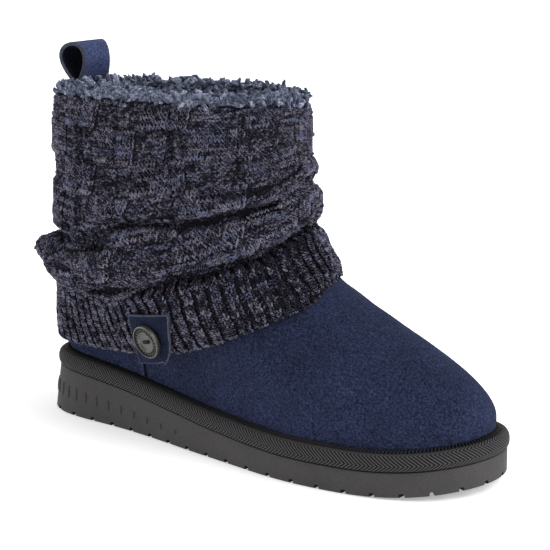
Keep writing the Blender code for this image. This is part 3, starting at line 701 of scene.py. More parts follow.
class Finish:
    """A Principled material and short ways to add nodes to it."""

    def __init__(self, name, roughness, metallic=0.0, sheen=0.0, sheen_tint=(1, 1, 1), gloss=0.12):
        self.material = bpy.data.materials.new(name)
        self.material.use_nodes = True
        self.tree = self.material.node_tree
        self.shader = self.tree.nodes["Principled BSDF"]
        self.normal = None
        self.attach(self.shader.inputs["Roughness"], roughness)
        self.attach(self.shader.inputs["Metallic"], metallic)
        self.attach(self.shader.inputs["Sheen Weight"], sheen)
        self.attach(self.shader.inputs["Sheen Roughness"], 0.5)
        self.attach(self.shader.inputs["Sheen Tint"], sheen_tint)
        self.attach(self.shader.inputs["Specular IOR Level"], gloss)

    def attach(self, socket, value):
        """Links a node's output to a socket, or gives the socket a value."""
        if isinstance(value, bpy.types.NodeSocket):
            self.tree.links.new(value, socket)
        elif socket.type == "RGBA":
            socket.default_value = (*value, 1)
        else:
            socket.default_value = value

    def node(self, kind, **settings):
        made = self.tree.nodes.new(kind)
        for name, value in settings.items():
            if hasattr(made, name) and not isinstance(value, bpy.types.NodeSocket):
                setattr(made, name, value)
            else:
                self.attach(made.inputs[name], value)
        return made

    def uv(self):
        return self.node("ShaderNodeUVMap", uv_map="UVMap").outputs["UV"]

    def attribute(self, name):
        """The red, green and blue of an attribute."""
        read = self.node("ShaderNodeAttribute", attribute_name=name)
        return self.node("ShaderNodeSeparateColor", Color=read.outputs["Color"]).outputs

    def noise(self, scale, detail=3.0, rough=0.55, where=None):
        where = where or self.node("ShaderNodeTexCoord").outputs["Object"]
        made = self.node("ShaderNodeTexNoise", Scale=scale, Detail=detail, Roughness=rough, Vector=where)
        return made.outputs["Fac"]

    def maths(self, operation, *values):
        made = self.node("ShaderNodeMath", operation=operation)
        for socket, value in zip(made.inputs, values):
            self.attach(socket, value)
        return made.outputs[0]

    def ramp(self, value, *stops):
        """Colours, or plain numbers for greys, at places from 0 to 1."""
        made = self.node("ShaderNodeValToRGB", Fac=value)
        marks = made.color_ramp.elements
        while len(marks) < len(stops):
            marks.new(0.5)
        for mark, (place, colour) in zip(marks, stops):
            mark.position = place
            mark.color = (*colour, 1) if isinstance(colour, tuple) else (colour, colour, colour, 1)
        return made.outputs["Color"]

    def mix(self, share, first, second, blend="MIX"):
        made = self.node("ShaderNodeMix", data_type="RGBA", blend_type=blend)
        for index, value in ((0, share), (6, first), (7, second)):
            self.attach(made.inputs[index], value)
        return made.outputs[2]

    def bump(self, height, distance, strength=1.0):
        made = self.node("ShaderNodeBump", Strength=strength, Distance=distance, Height=height)
        if self.normal:
            self.attach(made.inputs["Normal"], self.normal)
        self.normal = made.outputs["Normal"]

    def done(self, colour, roughness=None):
        self.attach(self.shader.inputs["Base Color"], colour)
        if roughness is not None:
            self.attach(self.shader.inputs["Roughness"], roughness)
        if self.normal:
            self.attach(self.shader.inputs["Normal"], self.normal)
        return self.material


def times(colour, factor):
    return tuple(min(1.0, c * factor) for c in colour)


def suede_finish(name, colour, lighter=1.9, scale=1.0, seam=False):
    """Suede: faint clouds, a short nap and a fine fibrous grain. With a seam, its strip is rubbed
    lighter and its stitched edge is dark, where the attribute seam says."""
    f = Finish(name, 0.95, sheen=0.03, sheen_tint=(0.42, 0.52, 0.85), gloss=0.05)
    clouds = f.noise(22 / scale, 3, 0.55)
    nap = f.noise(760 / scale, 4, 0.8)
    grain = f.noise(1800, 3, 0.7)
    tone = f.ramp(clouds, (0.32, times(colour, 0.8)), (0.5, colour), (0.68, times(colour, 1.25)))
    tone = f.mix(0.8, tone, f.ramp(nap, (0.38, 0.3), (0.64, 1.8)), "MULTIPLY")
    tone = f.mix(0.8, tone, f.ramp(grain, (0.36, 0.3), (0.66, lighter * 1.15)), "MULTIPLY")
    if seam:
        strip = f.attribute("seam")
        tone = f.mix(strip["Green"], tone, f.mix(1.0, tone, (1.5, 1.45, 1.4), "MULTIPLY"))
        tone = f.mix(strip["Red"], tone, times(colour, 0.12))
    f.bump(nap, 0.0005, 0.6)
    f.bump(grain, 0.00025, 0.9)
    return f.done(tone)


def edge_finish(name, colour):
    """Raw cut edge of the suede."""
    f = Finish(name, 0.95)
    layers = f.noise(900, 3, 0.6)
    f.bump(layers, 0.0003)
    return f.done(f.ramp(layers, (0.35, times(colour, 0.6)), (0.65, times(colour, 1.4))))


def yarn_finish(name):
    """Marled yarn: two plies twisted together, their colours changing along the yarn."""
    dark, middle, light = shade("yarn_dark"), shade("yarn_middle"), shade("yarn_light")
    flecks = shade("yarn_blue")
    f = Finish(name, 0.9, sheen=0.03, sheen_tint=(0.6, 0.62, 0.8), gloss=0.08)
    where = f.node("ShaderNodeSeparateXYZ", Vector=f.uv())
    # The strand's red is the yarn's marl, with painted shade in the cuff's troughs and over the instep rib.
    tone = f.attribute("strand")
    twist = f.maths("ADD", where.outputs[0], f.maths("MULTIPLY", where.outputs[1], 1.6))
    twist = f.maths("ADD", twist, tone["Blue"])
    wave = f.maths("SINE", f.maths("MULTIPLY", twist, 4 * math.pi))
    ply = f.maths("MULTIPLY_ADD", wave, 0.5, 0.5)
    fibre = f.noise(1400, 4, 0.65)
    blotch = f.noise(330, 3, 0.6)
    share = f.maths("ADD", f.maths("MULTIPLY", ply, 0.42), f.maths("MULTIPLY", tone["Red"], 0.62))
    share = f.maths("ADD", share, f.maths("MULTIPLY_ADD", blotch, 0.7, -0.35))
    share = f.maths("ADD", share, f.maths("MULTIPLY_ADD", fibre, 0.5, -0.27))
    grey = f.ramp(share, (0.18, dark), (0.48, middle), (0.82, light))
    blue = f.ramp(share, (0.18, times(dark, 1.1)), (0.45, times(flecks, 0.5)), (0.8, flecks))
    f.bump(ply, 0.0005, 0.8)
    f.bump(fibre, 0.0003, 0.9)
    return f.done(f.mix(f.ramp(tone["Green"], (0.35, 0), (0.65, 1)), grey, blue))


def backing_finish(name, colour):
    """Dark ground with a fine fibre: the yarn between the knit's stitches darkened as painted shade, and
    painted shade on the back of the pull loop.
    """
    f = Finish(name, 0.95)
    fibre = f.noise(800, 4, 0.75)
    f.bump(fibre, 0.0009)
    return f.done(f.ramp(fibre, (0.38, times(colour, 0.15)), (0.64, times(colour, 2.2))))


def pile_finish(name):
    """Curly pile: fine fibres along each lock; the strand attribute adds painted highlight at their crests
    and painted shade deep between them.
    """
    f = Finish(name, 0.95, sheen=0.08, sheen_tint=(0.7, 0.78, 1.0), gloss=0.08)
    where = f.node("ShaderNodeMapping", Vector=f.uv(), Scale=(20.0, 3.0, 1.0))
    fibre = f.noise(1.0, 3, 0.6, where.outputs["Vector"])
    fluff = f.noise(700, 4, 0.65)
    tone = f.attribute("strand")["Red"]
    share = f.maths("ADD", f.maths("MULTIPLY", fibre, 0.5), f.maths("MULTIPLY", fluff, 0.45))
    share = f.maths("ADD", share, f.maths("MULTIPLY_ADD", tone, 0.26, -0.1))
    f.bump(fibre, 0.0004, 0.8)
    f.bump(fluff, 0.0005, 0.9)
    stops = ((0.395, shade("pile_dark")), (0.53, shade("pile_middle")), (0.66, shade("pile_light")))
    return f.done(f.ramp(share, *stops))


def rubber_finish(name, colour):
    """Moulded rubber with a fine matt texture and faint scuffs."""
    f = Finish(name, 0.7, gloss=0.22)
    fine = f.noise(2200, 2, 0.6)
    cloud = f.noise(60, 4, 0.6)
    f.bump(fine, 0.00012, 0.7)
    f.bump(f.noise(240, 3, 0.5), 0.0002, 0.4)
    tone = f.ramp(cloud, (0.3, times(colour, 0.85)), (0.7, times(colour, 1.15)))
    tone = f.mix(0.5, tone, f.ramp(fine, (0.4, 0.6), (0.7, 1.6)), "MULTIPLY")
    return f.done(tone, f.ramp(cloud, (0.3, 0.6), (0.7, 0.78)))


def tape_finish(name):
    """Herringbone tape: ridges that change their slant at each row."""
    f = Finish(name, 0.75, sheen=0.03, gloss=0.15)
    where = f.node("ShaderNodeSeparateXYZ", Vector=f.uv())
    zigzag = f.maths("PINGPONG", f.maths("ADD", where.outputs[1], 0.0014), 0.0050)
    phase = f.maths("ADD", where.outputs[0], f.maths("MULTIPLY", zigzag, 1.3))
    wobble = f.maths("MULTIPLY", f.noise(300, 2), 0.0005)
    wave = f.maths("SINE", f.maths("MULTIPLY", f.maths("ADD", phase, wobble), 2 * math.pi / 0.0021))
    ridge = f.maths("MULTIPLY_ADD", wave, 0.5, 0.5)
    fibre = f.noise(1600, 3, 0.6)
    share = f.maths("ADD", f.maths("MULTIPLY", ridge, 0.75), f.maths("MULTIPLY", fibre, 0.4))
    f.bump(ridge, 0.0005, 1.0)
    f.bump(fibre, 0.0002, 0.7)
    dark, light = shade("tape_dark"), shade("tape_light")
    return f.done(f.ramp(share, (0.40, dark), (0.62, times(light, 0.55)), (0.88, light)))


def plain_finish(name, colour, roughness, metallic=0.0, bump=0.00008, scale=1500):
    f = Finish(name, roughness, metallic, gloss=0.3)
    grain = f.noise(scale, 3, 0.6)
    f.bump(grain, bump, 0.6)
    return f.done(f.ramp(grain, (0.3, times(colour, 0.75)), (0.7, times(colour, 1.25))))


def paint(piece, *materials):
    """Gives a piece its materials. Its faces keep the numbers that say which one they have."""
    marks = np.zeros(len(piece.data.polygons), np.int32)
    piece.data.polygons.foreach_get("material_index", marks)
    piece.data.materials.clear()
    for material in materials:
        piece.data.materials.append(material)
    piece.data.polygons.foreach_set("material_index", marks)


# Settings


def count_property(name, description, default, least):
    return bpy.props.IntProperty(name=name, description=description, default=default, min=least)


def length_property(name, description, default):
    return bpy.props.FloatProperty(name=name, description=description, default=default, unit="LENGTH")


def colour_property(name, description, default):
    return bpy.props.FloatVectorProperty(
        name=name, description=description, default=default, subtype="COLOR", size=3, min=0, max=1
    )


class BootSizes(bpy.types.PropertyGroup):
    stitches_round: count_property("Stitches round", "Stitches in one round of the cuff", 210, 24)
    rib_rows: count_property("Rib rows", "Rows of the ribbed hem", 21, 4)
    cuff_rows: count_property("Cuff rows", "Rows from the lowest crease to the top edge", 49, 8)
    block: count_property("Block width", "Stitches in a block of the basketweave", 15, 2)
    block_rows: count_property("Block height", "Rows in a block of the basketweave", 7, 2)
    lock_size: length_property("Lock size", "Size of one lock of the pile", 0.0042)
    clump_count: count_property("Clumps", "Clumps of pile on the rolled collar", 370, 10)
    locks_each: count_property("Locks in a clump", "Locks of pile in one clump", 5, 1)
    whip_pitch: length_property("Whip stitch pitch", "Spacing of the stitches along the binding", 0.0019)


class BootColours(bpy.types.PropertyGroup):
    suede: colour_property("Suede", "Colour of the suede", (0.0166, 0.0215, 0.048))
    raw_edge: colour_property("Raw edge", "Colour of the suede's cut edges", (0.062, 0.070, 0.10))
    yarn_dark: colour_property("Dark yarn", "Darkest ply of the yarn", (0.004, 0.004, 0.008))
    yarn_middle: colour_property("Middle yarn", "Charcoal ply of the yarn", (0.050, 0.046, 0.068))
    yarn_light: colour_property("Light yarn", "Lightest ply of the yarn", (0.28, 0.265, 0.345))
    yarn_blue: colour_property("Blue yarn", "Grey-blue ply of the yarn", (0.19, 0.21, 0.34))
    # The pile's dark and light are partly its fibre, partly painted shade deep in the pile and painted
    # highlight at its crests.
    pile_dark: colour_property("Dark pile", "Colour deep in the pile", (0.010, 0.014, 0.028))
    pile_middle: colour_property("Pile", "Colour of the pile", (0.115, 0.13, 0.19))
    pile_light: colour_property("Light pile", "Colour of the pile's crests", (0.47, 0.51, 0.64))
    rubber: colour_property("Rubber", "Colour of the sole", (0.055, 0.052, 0.054))
    tape_dark: colour_property("Tape grooves", "Colour between the tape's ridges", (0.004, 0.004, 0.005))
    tape_light: colour_property("Tape ridges", "Colour of the tape's ridges", (0.075, 0.072, 0.075))
    thread: colour_property("Thread", "Colour of the whip stitches", (0.006, 0.006, 0.007))
    metal: colour_property("Button", "Colour of the button", (0.115, 0.112, 0.107))


def sizes():
    return bpy.context.scene.boot_sizes


def shade(name):
    """One of the boot's colours, by its name."""
    return tuple(getattr(bpy.context.scene.boot_colours, name))


# Pieces


def dense_turns(count):
    """Turns evenly spaced, with more of them round the side seams."""
    turns = list(np.arange(count) / count)
    for centre in seam_turns():
        reach = SEAM_FOOT / SKIN_ROUND
        turns = [t for t in turns if abs(t - centre) > reach]
        turns += list(centre + np.linspace(-reach, reach, 25))
    return np.array(sorted(turns))


def even_turns(count, level):
    """Turns that lie evenly along the cuff at a level, the first one half a step in."""
    return wale_turns((np.arange(count) + 0.5) / count, level, 0.0)


def wale_turns(shares, level, twist):
    """Turns of the wales at a level, for the share of the way round at which each wale starts at the
    top edge. Twist is how far the cuff is turned at its hem, except over the instep."""
    fine = np.linspace(0, 1, 2001)
    length = lengths(cuff_point(fine, level))
    length /= length[-1]
    off_heel = np.minimum(shares, 1 - shares)
    turned = twist * (1 - np.clip(level, 0, 4) / 4) * (1 - smooth(0.25, 0.5, off_heel))
    before = slice(1000, 2000)
    length = np.concatenate([length[before] - 1, length])
    return np.interp(shares - turned, length, np.concatenate([fine[before] - 1, fine]))


class BOOT_OT_upper(bpy.types.Operator):
    """Makes the suede upper with its raised side seams"""

    bl_idname = "boot.upper"
    bl_label = "Suede upper"

    def execute(self, context):
        around = dense_turns(250)
        foot = feather_height(around)
        tuck = (rubber_top(around) + 2 * CLEAR - foot) / (COLLAR_HEIGHT - foot)
        levels = [tuck, tuck / 2] + [around * 0 + r for r in np.linspace(0, 1, 70) ** 1.15]
        outer = []
        for level in levels:
            shown = smooth(0.004, 0.02, level)
            wave = np.sin(level * 90 + 5 * np.sin(2 * math.pi * 5 * around))
            puckers = PUCKER * wave * smooth(0.2, 0.5, level)
            outer.append(skin(around, level, seam_raise(around) * shown + puckers))
        inner = [skin(around, level, around * 0 - UPPER_WALL) for level in levels[::6] + [levels[-1]]]
        upper = ring("suede_upper", outer + inner[::-1], replaces=["upper"], slot="suede")
        marks = np.zeros((len(outer) + len(inner), len(around), 4))
        for centre, ahead in zip(seam_turns(), (1, -1)):
            off = (around - centre) * ahead * SKIN_ROUND
            marks[..., 0] += np.exp(-(((off - 0.56 * SEAM_WIDTH) / SEAM_STITCH) ** 2))
            marks[..., 1] += 0.9 * (1 - smooth(0.3 * SEAM_WIDTH, 0.5 * SEAM_WIDTH, abs(off)))
        mark_points(upper, "seam", np.clip(marks, 0, 1))
        paint(upper, suede_finish("suede", shade("suede"), seam=True))
        return {"FINISHED"}


def sole_rows(around):
    low, top = sole_bottom(around), rubber_top(around)
    width = flare(around)
    sections = [
        (0 * around + SOLE_EDGE, low),
        (0 * around + 0.3 * SOLE_EDGE, low + 0.3 * SOLE_EDGE),
        (0 * around, low + SOLE_EDGE),
        (width, top - SOLE_EDGE),
        (width + 0.3 * SOLE_EDGE, top - 0.3 * SOLE_EDGE),
        (width + SOLE_EDGE, top),
    ]
    return [raised(outline(around, inset), height) for inset, height in sections]


def arc_turns(low, high, count):
    """Turns of points spaced evenly along the outline between two turns, half a pitch in."""
    fine = np.linspace(low, high, 2000)
    length = lengths(plan_point(fine))
    return np.interp((np.arange(count) + 0.5) / count * length[-1], length, fine)


def groove(first, last, height):
    """A rounded bar that cuts one groove across the sole."""
    length = float(np.linalg.norm(last - first))
    middle = (first + last) / 2
    bpy.ops.object.select_all(action="DESELECT")
    bpy.ops.mesh.primitive_cube_add(size=1)
    bar = bpy.context.object
    bar.scale = (length, NOTCH_WIDTH, 2 * NOTCH_DEPTH)
    bar.rotation_euler = (0, 0, math.atan2(*(last - first)[::-1]))
    bar.location = (middle[0] + MOVE[0], middle[1] + MOVE[1], height)
    bpy.ops.object.transform_apply(location=True, rotation=True, scale=True)
    soften(bar, NOTCH_WIDTH * 0.3, 30)
    return bar


class BOOT_OT_outsole(bpy.types.Operator):
    """Makes the rubber sole, cuts its grooves and adds the moulded ribs round the heel"""

    bl_idname = "boot.outsole"
    bl_label = "Rubber outsole"

    def execute(self, context):
        around = np.arange(360) / 360
        points = np.stack(sole_rows(around))
        rows, columns = points.shape[:2]
        faces = [tuple(f) for f in grid_faces(rows, columns, False, True)]
        faces.append(tuple(range(columns))[::-1])
        faces.append(tuple((rows - 1) * columns + i for i in range(columns)))
        mesh = bpy.data.meshes.new("rubber_outsole")
        mesh.from_pydata((points.reshape(-1, 3) + MOVE).tolist(), [], faces)
        sole = bpy.data.objects.new("rubber_outsole", mesh)
        context.collection.objects.link(sole)
        bars = []
        lateral = arc_turns(0.0, 0.5, NOTCHES_PER_SIDE)
        for number, (near, far) in enumerate(zip(lateral, 1 - lateral)):
            start, end = plan_point(near), plan_point(far)
            height = float(sole_bottom(near))
            across = (end - start) / np.linalg.norm(end - start)
            if number < NOTCHES_PER_SIDE - TOE_NOTCHES:
                bars.append(groove(start - across * NOTCH_PAST, end + across * NOTCH_PAST, height))
            else:
                pair = np.array([near, far])
                inner, outer = outline(pair, NOTCH_REACH), outline(pair, -NOTCH_PAST)
                bars += [groove(outer[i], inner[i], height) for i in (0, 1)]
        cutter = join(bars)
        rubber = rubber_finish("rubber", shade("rubber"))
        # Painted shade: the faces that the grooves cut get near-black rubber, for the shade inside each
        # groove.
        groove_shade = rubber_finish("groove_grime", times(shade("rubber"), 0.12))
        paint(sole, rubber, groove_shade)
        cut_faces = cutter.data.polygons
        cut_faces.foreach_set("material_index", np.ones(len(cut_faces), np.int32))
        paint(cutter, rubber, groove_shade)
        cut(sole, cutter)
        select_only(sole)
        bpy.ops.object.shade_smooth_by_angle(angle=math.radians(32))
        settle(sole, ["outsole"])
        self.heel_ribs(rubber)
        return {"FINISHED"}

    def heel_ribs(self, rubber):
        """Short upright ribs round the heel, lower and lower towards the waist."""
        turns = np.linspace(-RIBS_REACH, RIBS_REACH, HEEL_RIBS)
        shape = capsule(10, 8)
        low, top = sole_bottom(turns), rubber_top(turns)
        fade = 1 - RIB_FADE * (abs(turns) / RIBS_REACH) ** 1.5
        length = RIB_LENGTH * (top - low) * fade
        foot = low + RIB_FOOT * (top - low)
        ends = []
        for height in (foot, foot + length):
            share = (height - low) / (top - low)
            ends.append(raised(outline(turns, flare(turns) * share), height))
        long = ends[1] - ends[0]
        beside = outline(turns + 1e-4, flare(turns)) - outline(turns - 1e-4, flare(turns))
        wide = unit(np.concatenate([beside, 0 * beside[:, :1]], -1))
        thick = unit(np.cross(wide, long))
        middle = (ends[0] + ends[1]) / 2
        ribs = strands("heel_ribs", shape, middle, long, wide * RIB_WIDTH, thick * RIB_RAISE, slot="rubber")
        paint(ribs, rubber)


BINDING = table(
    "out up",
    (1.00, 0.00),
    (0.28, 0.00),
    (0.13, 0.04),
    (0.05, 0.14),
    (0.01, 0.27),
    (0.00, 0.40),
    (0.01, 0.54),
    (0.05, 0.68),
    (0.12, 0.80),
    (0.22, 0.90),
    (0.36, 0.97),
    (0.52, 1.00),
    (0.76, 0.98),
    (1.00, 0.92),
)


class BOOT_OT_binding(bpy.types.Operator):
    """Makes the herringbone tape round the platform and the whip stitches along it"""

    bl_idname = "boot.binding"
    bl_label = "Binding"

    def execute(self, context):
        around = np.arange(520) / 520
        foot = rubber_top(around) + CLEAR
        edge = flare(around) - BINDING_BULGE
        rows = []
        for out, up in zip(BINDING["out"], BINDING["up"]):
            rows.append(raised(outline(around, edge + BINDING_WIDTH * out), foot + BINDING_HEIGHT * up))
        tape = ring("herringbone_tape", rows, replaces=["binding"], slot="binding_tape")
        paint(tape, tape_finish("herringbone"))
        self.whip_stitches()
        return {"FINISHED"}

    def whip_stitches(self):
        length = np.linalg.norm(np.diff(plan_point(np.linspace(0, 1, 2001)), axis=0), axis=-1).sum()
        count = int(length / sizes().whip_pitch)
        turns = arc_turns(0.0, 1.0, count)
        inset = flare(turns) - BINDING_BULGE
        foot = rubber_top(turns) + CLEAR
        step = 0.35 * sizes().whip_pitch / SKIN_ROUND
        outer = raised(outline(turns - step, inset + BINDING_WIDTH * 0.66), foot + BINDING_HEIGHT * 1.02)
        inner = raised(outline(turns + step, inset + BINDING_WIDTH * 1.10), foot + BINDING_HEIGHT * 1.10)
        long = inner - outer
        ahead = unit(np.cross(long, np.array([0, 0, 1.0])))
        thick = unit(np.cross(ahead, long))
        thread = strands(
            "whip_stitches", capsule(8, 6), (outer + inner) / 2, long * 1.4,
            -ahead * 0.0011, -thick * 0.0014, slot="binding_tape",
        )
        paint(thread, plain_finish("black_thread", shade("thread"), 0.55, scale=2500))


class BOOT_OT_insole(bpy.types.Operator):
    """Makes the pile-covered footbed"""

    bl_idname = "boot.insole"
    bl_label = "Insole"

    def execute(self, context):
        around = np.arange(200) / 200
        inset = flare(around) + BINDING_WIDTH - BINDING_BULGE + 2 * CLEAR + UPPER_WALL
        foot = rubber_top(around) + CLEAR
        top = foot + BINDING_HEIGHT - FOOTBED_RECESS
        plan = outline(around, inset)
        spine = np.stack([plan[:, 0] * 0.94 + 0.06 * SOLE_LENGTH / 2, 0 * around], -1)
        rng = np.random.default_rng(5)
        rows = [raised(spine + (plan - spine) * share, foot) for share in (0.0, 0.5, 1.0)]
        for share in (1.0, 0.97, 0.9, 0.8, 0.7, 0.6, 0.5, 0.4, 0.3, 0.2, 0.1, 0.0):
            lumps = 0.0007 * rng.standard_normal(len(around)) if 0 < share < 0.97 else 0
            height = top + lumps - 0.0008 * (share == 1.0)
            rows.append(raised(spine + (plan - spine) * share, height))
        points = np.stack(rows)
        faces = grid_faces(*points.shape[:2], False, True)
        insole = mesh_piece(
            "footbed", points, faces, grid_uv(points, False, True), replaces=["insole"], slot="pile"
        )
        paint(insole, pile_finish("footbed_pile"))
        return {"FINISHED"}


def loop_place(turn):
    """1 where the pull loop passes between the suede and the lining, and 0 away from it."""
    off = np.minimum(turn % 1, 1 - turn % 1) * math.pi * (SHAFT_LENGTH + SHAFT_WIDTH) / 2
    return 1 - smooth(LOOP_WIDTH * 0.8, LOOP_WIDTH * 1.2, off)


def lining_section(around):
    """Rows of the pile's backing, from the tube's foot inside up over the roll and down again."""
    here = loop_place(around)
    outer_face = -UPPER_WALL - 2 * CLEAR
    inner_face = outer_face - LINING_WALL
    pocket_face = outer_face - 2 * LOOP_WALL - 3 * CLEAR
    cuff_top = COLLAR_HEIGHT + CUFF_TOP + CLEAR + rim(around)
    roll_top = COLLAR_HEIGHT + ROLL_HEIGHT + rim(around)
    lap = CUFF_SLACK + ROLL_LAP
    section = [(inner_face, COLLAR_HEIGHT - LINING_DEPTH * share) for share in np.linspace(1, 0.2, 14)]
    section += [
        (inner_face, cuff_top - 0.004),
        (inner_face, cuff_top),
        (inner_face + 0.3 * LINING_WALL, roll_top - 0.12 * ROLL_HEIGHT),
        ((inner_face + outer_face) / 2, roll_top - 0.03 * ROLL_HEIGHT),
        (outer_face, roll_top),
        (0.5 * (outer_face + 0.7 * lap), roll_top - 0.03 * ROLL_HEIGHT),
        (0.7 * lap, roll_top - 0.12 * ROLL_HEIGHT),
        (lap, cuff_top + 0.12 * ROLL_HEIGHT),
        (0.5 * CUFF_SLACK, cuff_top),
        (0.0, COLLAR_HEIGHT + CLEAR + 0 * around),
    ]
    section += [(outer_face, COLLAR_HEIGHT - LINING_DEPTH * share) for share in (0.0, 0.4, 0.8, 1.0)]
    rows = []
    for out, height in section:
        pushed = out + here * min(0, pocket_face - out)
        if out < (inner_face + outer_face) / 2:
            pushed = pushed - here * LOOP_WALL
        point = skin(around, rise_at(around, np.minimum(height, COLLAR_HEIGHT)), pushed)
        point[:, 2] = height
        rows.append(point)
    return rows


def curled_lock(segments, steps, bend):
    """One lock of pile: a tapered strand that curls over on itself."""
    points, faces, uv = capsule(segments, steps)
    y = points[:, 1] * 2
    turned = y * bend
    across = points[:, 0]
    radius = 1 / bend
    x = radius * (1 - np.cos(turned)) + across * np.cos(turned)
    z = radius * np.sin(turned) - across * np.sin(turned) * 0.6
    return np.stack([x - 0.25, z, points[:, 2] * (1.15 - 0.5 * abs(y))], -1), faces, uv


class BOOT_OT_lining(bpy.types.Operator):
    """Makes the pile lining: its backing and the curled locks on it"""

    bl_idname = "boot.lining"
    bl_label = "Pile lining"

    def execute(self, context):
        pile = pile_finish("pile")
        grid = np.stack(lining_section(even_turns(300, 3.5)))
        rng = np.random.default_rng(11)
        count = sizes().clump_count
        roll = self.clumps(grid[15:24], count, rng)
        inside = self.clumps(grid[0:16], count * 3 // 4, rng)
        self.backing(grid, [np.concatenate(pair) for pair in zip(roll, inside)], pile)
        self.locks("pile_locks", roll, pile, rng)
        self.locks("pile_locks_inside", inside, pile, rng)
        return {"FINISHED"}

    def backing(self, grid, clumps, pile):
        """The pile's ground, swollen under each clump, and darker between the clumps as painted shade."""
        at, east, north, out, swell = clumps
        rows = np.linspace(0, len(grid) - 1, 3 * len(grid))
        low = np.minimum(rows.astype(int), len(grid) - 2)
        part = (rows - low)[:, None, None]
        fine = grid[low] * (1 - part) + grid[low + 1] * part
        swollen = fine.reshape(-1, 3)
        off = ((swollen[:, None] - at[None]) ** 2).sum(-1)
        rise = swell[:, 0] * np.exp(-off / (1.2 * swell[:, 0]) ** 2)
        best = rise.argmax(1)
        most = rise[np.arange(len(best)), best]
        swollen = swollen + 0.9 * most[:, None] * out[best]
        swollen = list(swollen.reshape(fine.shape))
        shell = ring("pile_backing", swollen, replaces=["pile_lining"], slot="pile")
        # Painted shade: the ground is darker where it lies low between the clumps.
        tone = np.repeat(0.28 + 0.55 * most / sizes().lock_size, 4)
        mark_points(shell, "strand", tone)
        paint(shell, pile)

    def clumps(self, grid, count, rng):
        """Round clumps spread evenly over a part of the backing: where each is, its three directions
        and how far it swells."""
        rows, columns = grid.shape[:2]
        section = lengths(grid[:, columns // 4])
        pitch = math.sqrt(section[-1] * CLUMP_SPREAD / count)
        lanes = max(1, int(section[-1] / pitch))
        per_lane = count // lanes
        lane = np.repeat(np.arange(lanes), per_lane)
        v = (lane + 0.5 + rng.uniform(-0.35, 0.35, len(lane))) / lanes * section[-1]
        v = np.interp(v, section, np.arange(rows))
        u = np.tile(np.arange(per_lane), lanes) + 0.5 * (lane % 2) + rng.uniform(-0.35, 0.35, len(lane))
        u = (u / per_lane * columns) % columns
        i, j = np.clip(v.astype(int), 0, rows - 2), u.astype(int)
        a, b = (v - i)[:, None], (u - j)[:, None]
        on = (j + 1) % columns
        low = grid[i, j] * (1 - b) + grid[i, on] * b
        high = grid[i + 1, j] * (1 - b) + grid[i + 1, on] * b
        at = low * (1 - a) + high * a
        east = unit(grid[i, on] - grid[i, j])
        north = unit(high - low)
        out = unit(np.cross(east, north))
        return at, east, north, out, sizes().lock_size * rng.uniform(0.45, 0.95, (len(at), 1))

    def locks(self, name, clumps, pile, rng):
        """Curled locks all over each clump."""
        size = sizes().lock_size
        at, east, north, out, swell = (np.repeat(v, sizes().locks_each, axis=0) for v in clumps)
        tilt = rng.uniform(0.1, 1.35, swell.shape)
        round_it = rng.uniform(0, 2 * math.pi, swell.shape)
        facing = np.cos(tilt) * out + np.sin(tilt) * (np.cos(round_it) * east + np.sin(round_it) * north)
        at = at + facing * swell * 0.9
        # Painted highlight: locks that face outwards and stand high on their clump are lighter.
        crest_highlight = 0.15 + 0.55 * np.cos(tilt) * swell / size
        out = unit(facing)
        east = unit(np.cross(north, out))
        north = np.cross(out, east)
        kinds = [curled_lock(6, 6, bend) for bend in (1.1, 1.7, 2.3)]
        pick = rng.integers(0, 3, len(at))
        pieces = []
        for kind, shape in enumerate(kinds):
            mine = pick == kind
            angle = rng.uniform(0, 2 * math.pi, mine.sum())[:, None]
            e, n, o = east[mine], north[mine], out[mine]
            across = np.cos(angle) * e + np.sin(angle) * n
            long = -np.sin(angle) * e + np.cos(angle) * n
            lean = rng.uniform(0.1, 0.9, mine.sum())[:, None]
            axis = unit(long + lean * o)
            side = unit(across + 0.3 * rng.standard_normal((mine.sum(), 1)) * o)
            thick = unit(np.cross(side, axis))
            grow = size * rng.uniform(0.8, 1.3, mine.sum())[:, None]
            tone = crest_highlight[mine] + 0.35 * rng.uniform(0, 1, (mine.sum(), 1))
            pieces.append(
                strands(f"{name}_{kind}", shape, at[mine], axis * grow * 0.95, side * grow * 0.62,
                        thick * grow * 0.5, np.repeat(tone, 3, 1))
            )
        joined = join(pieces)
        joined.name = name
        joined.data.name = name
        paint(joined, pile)


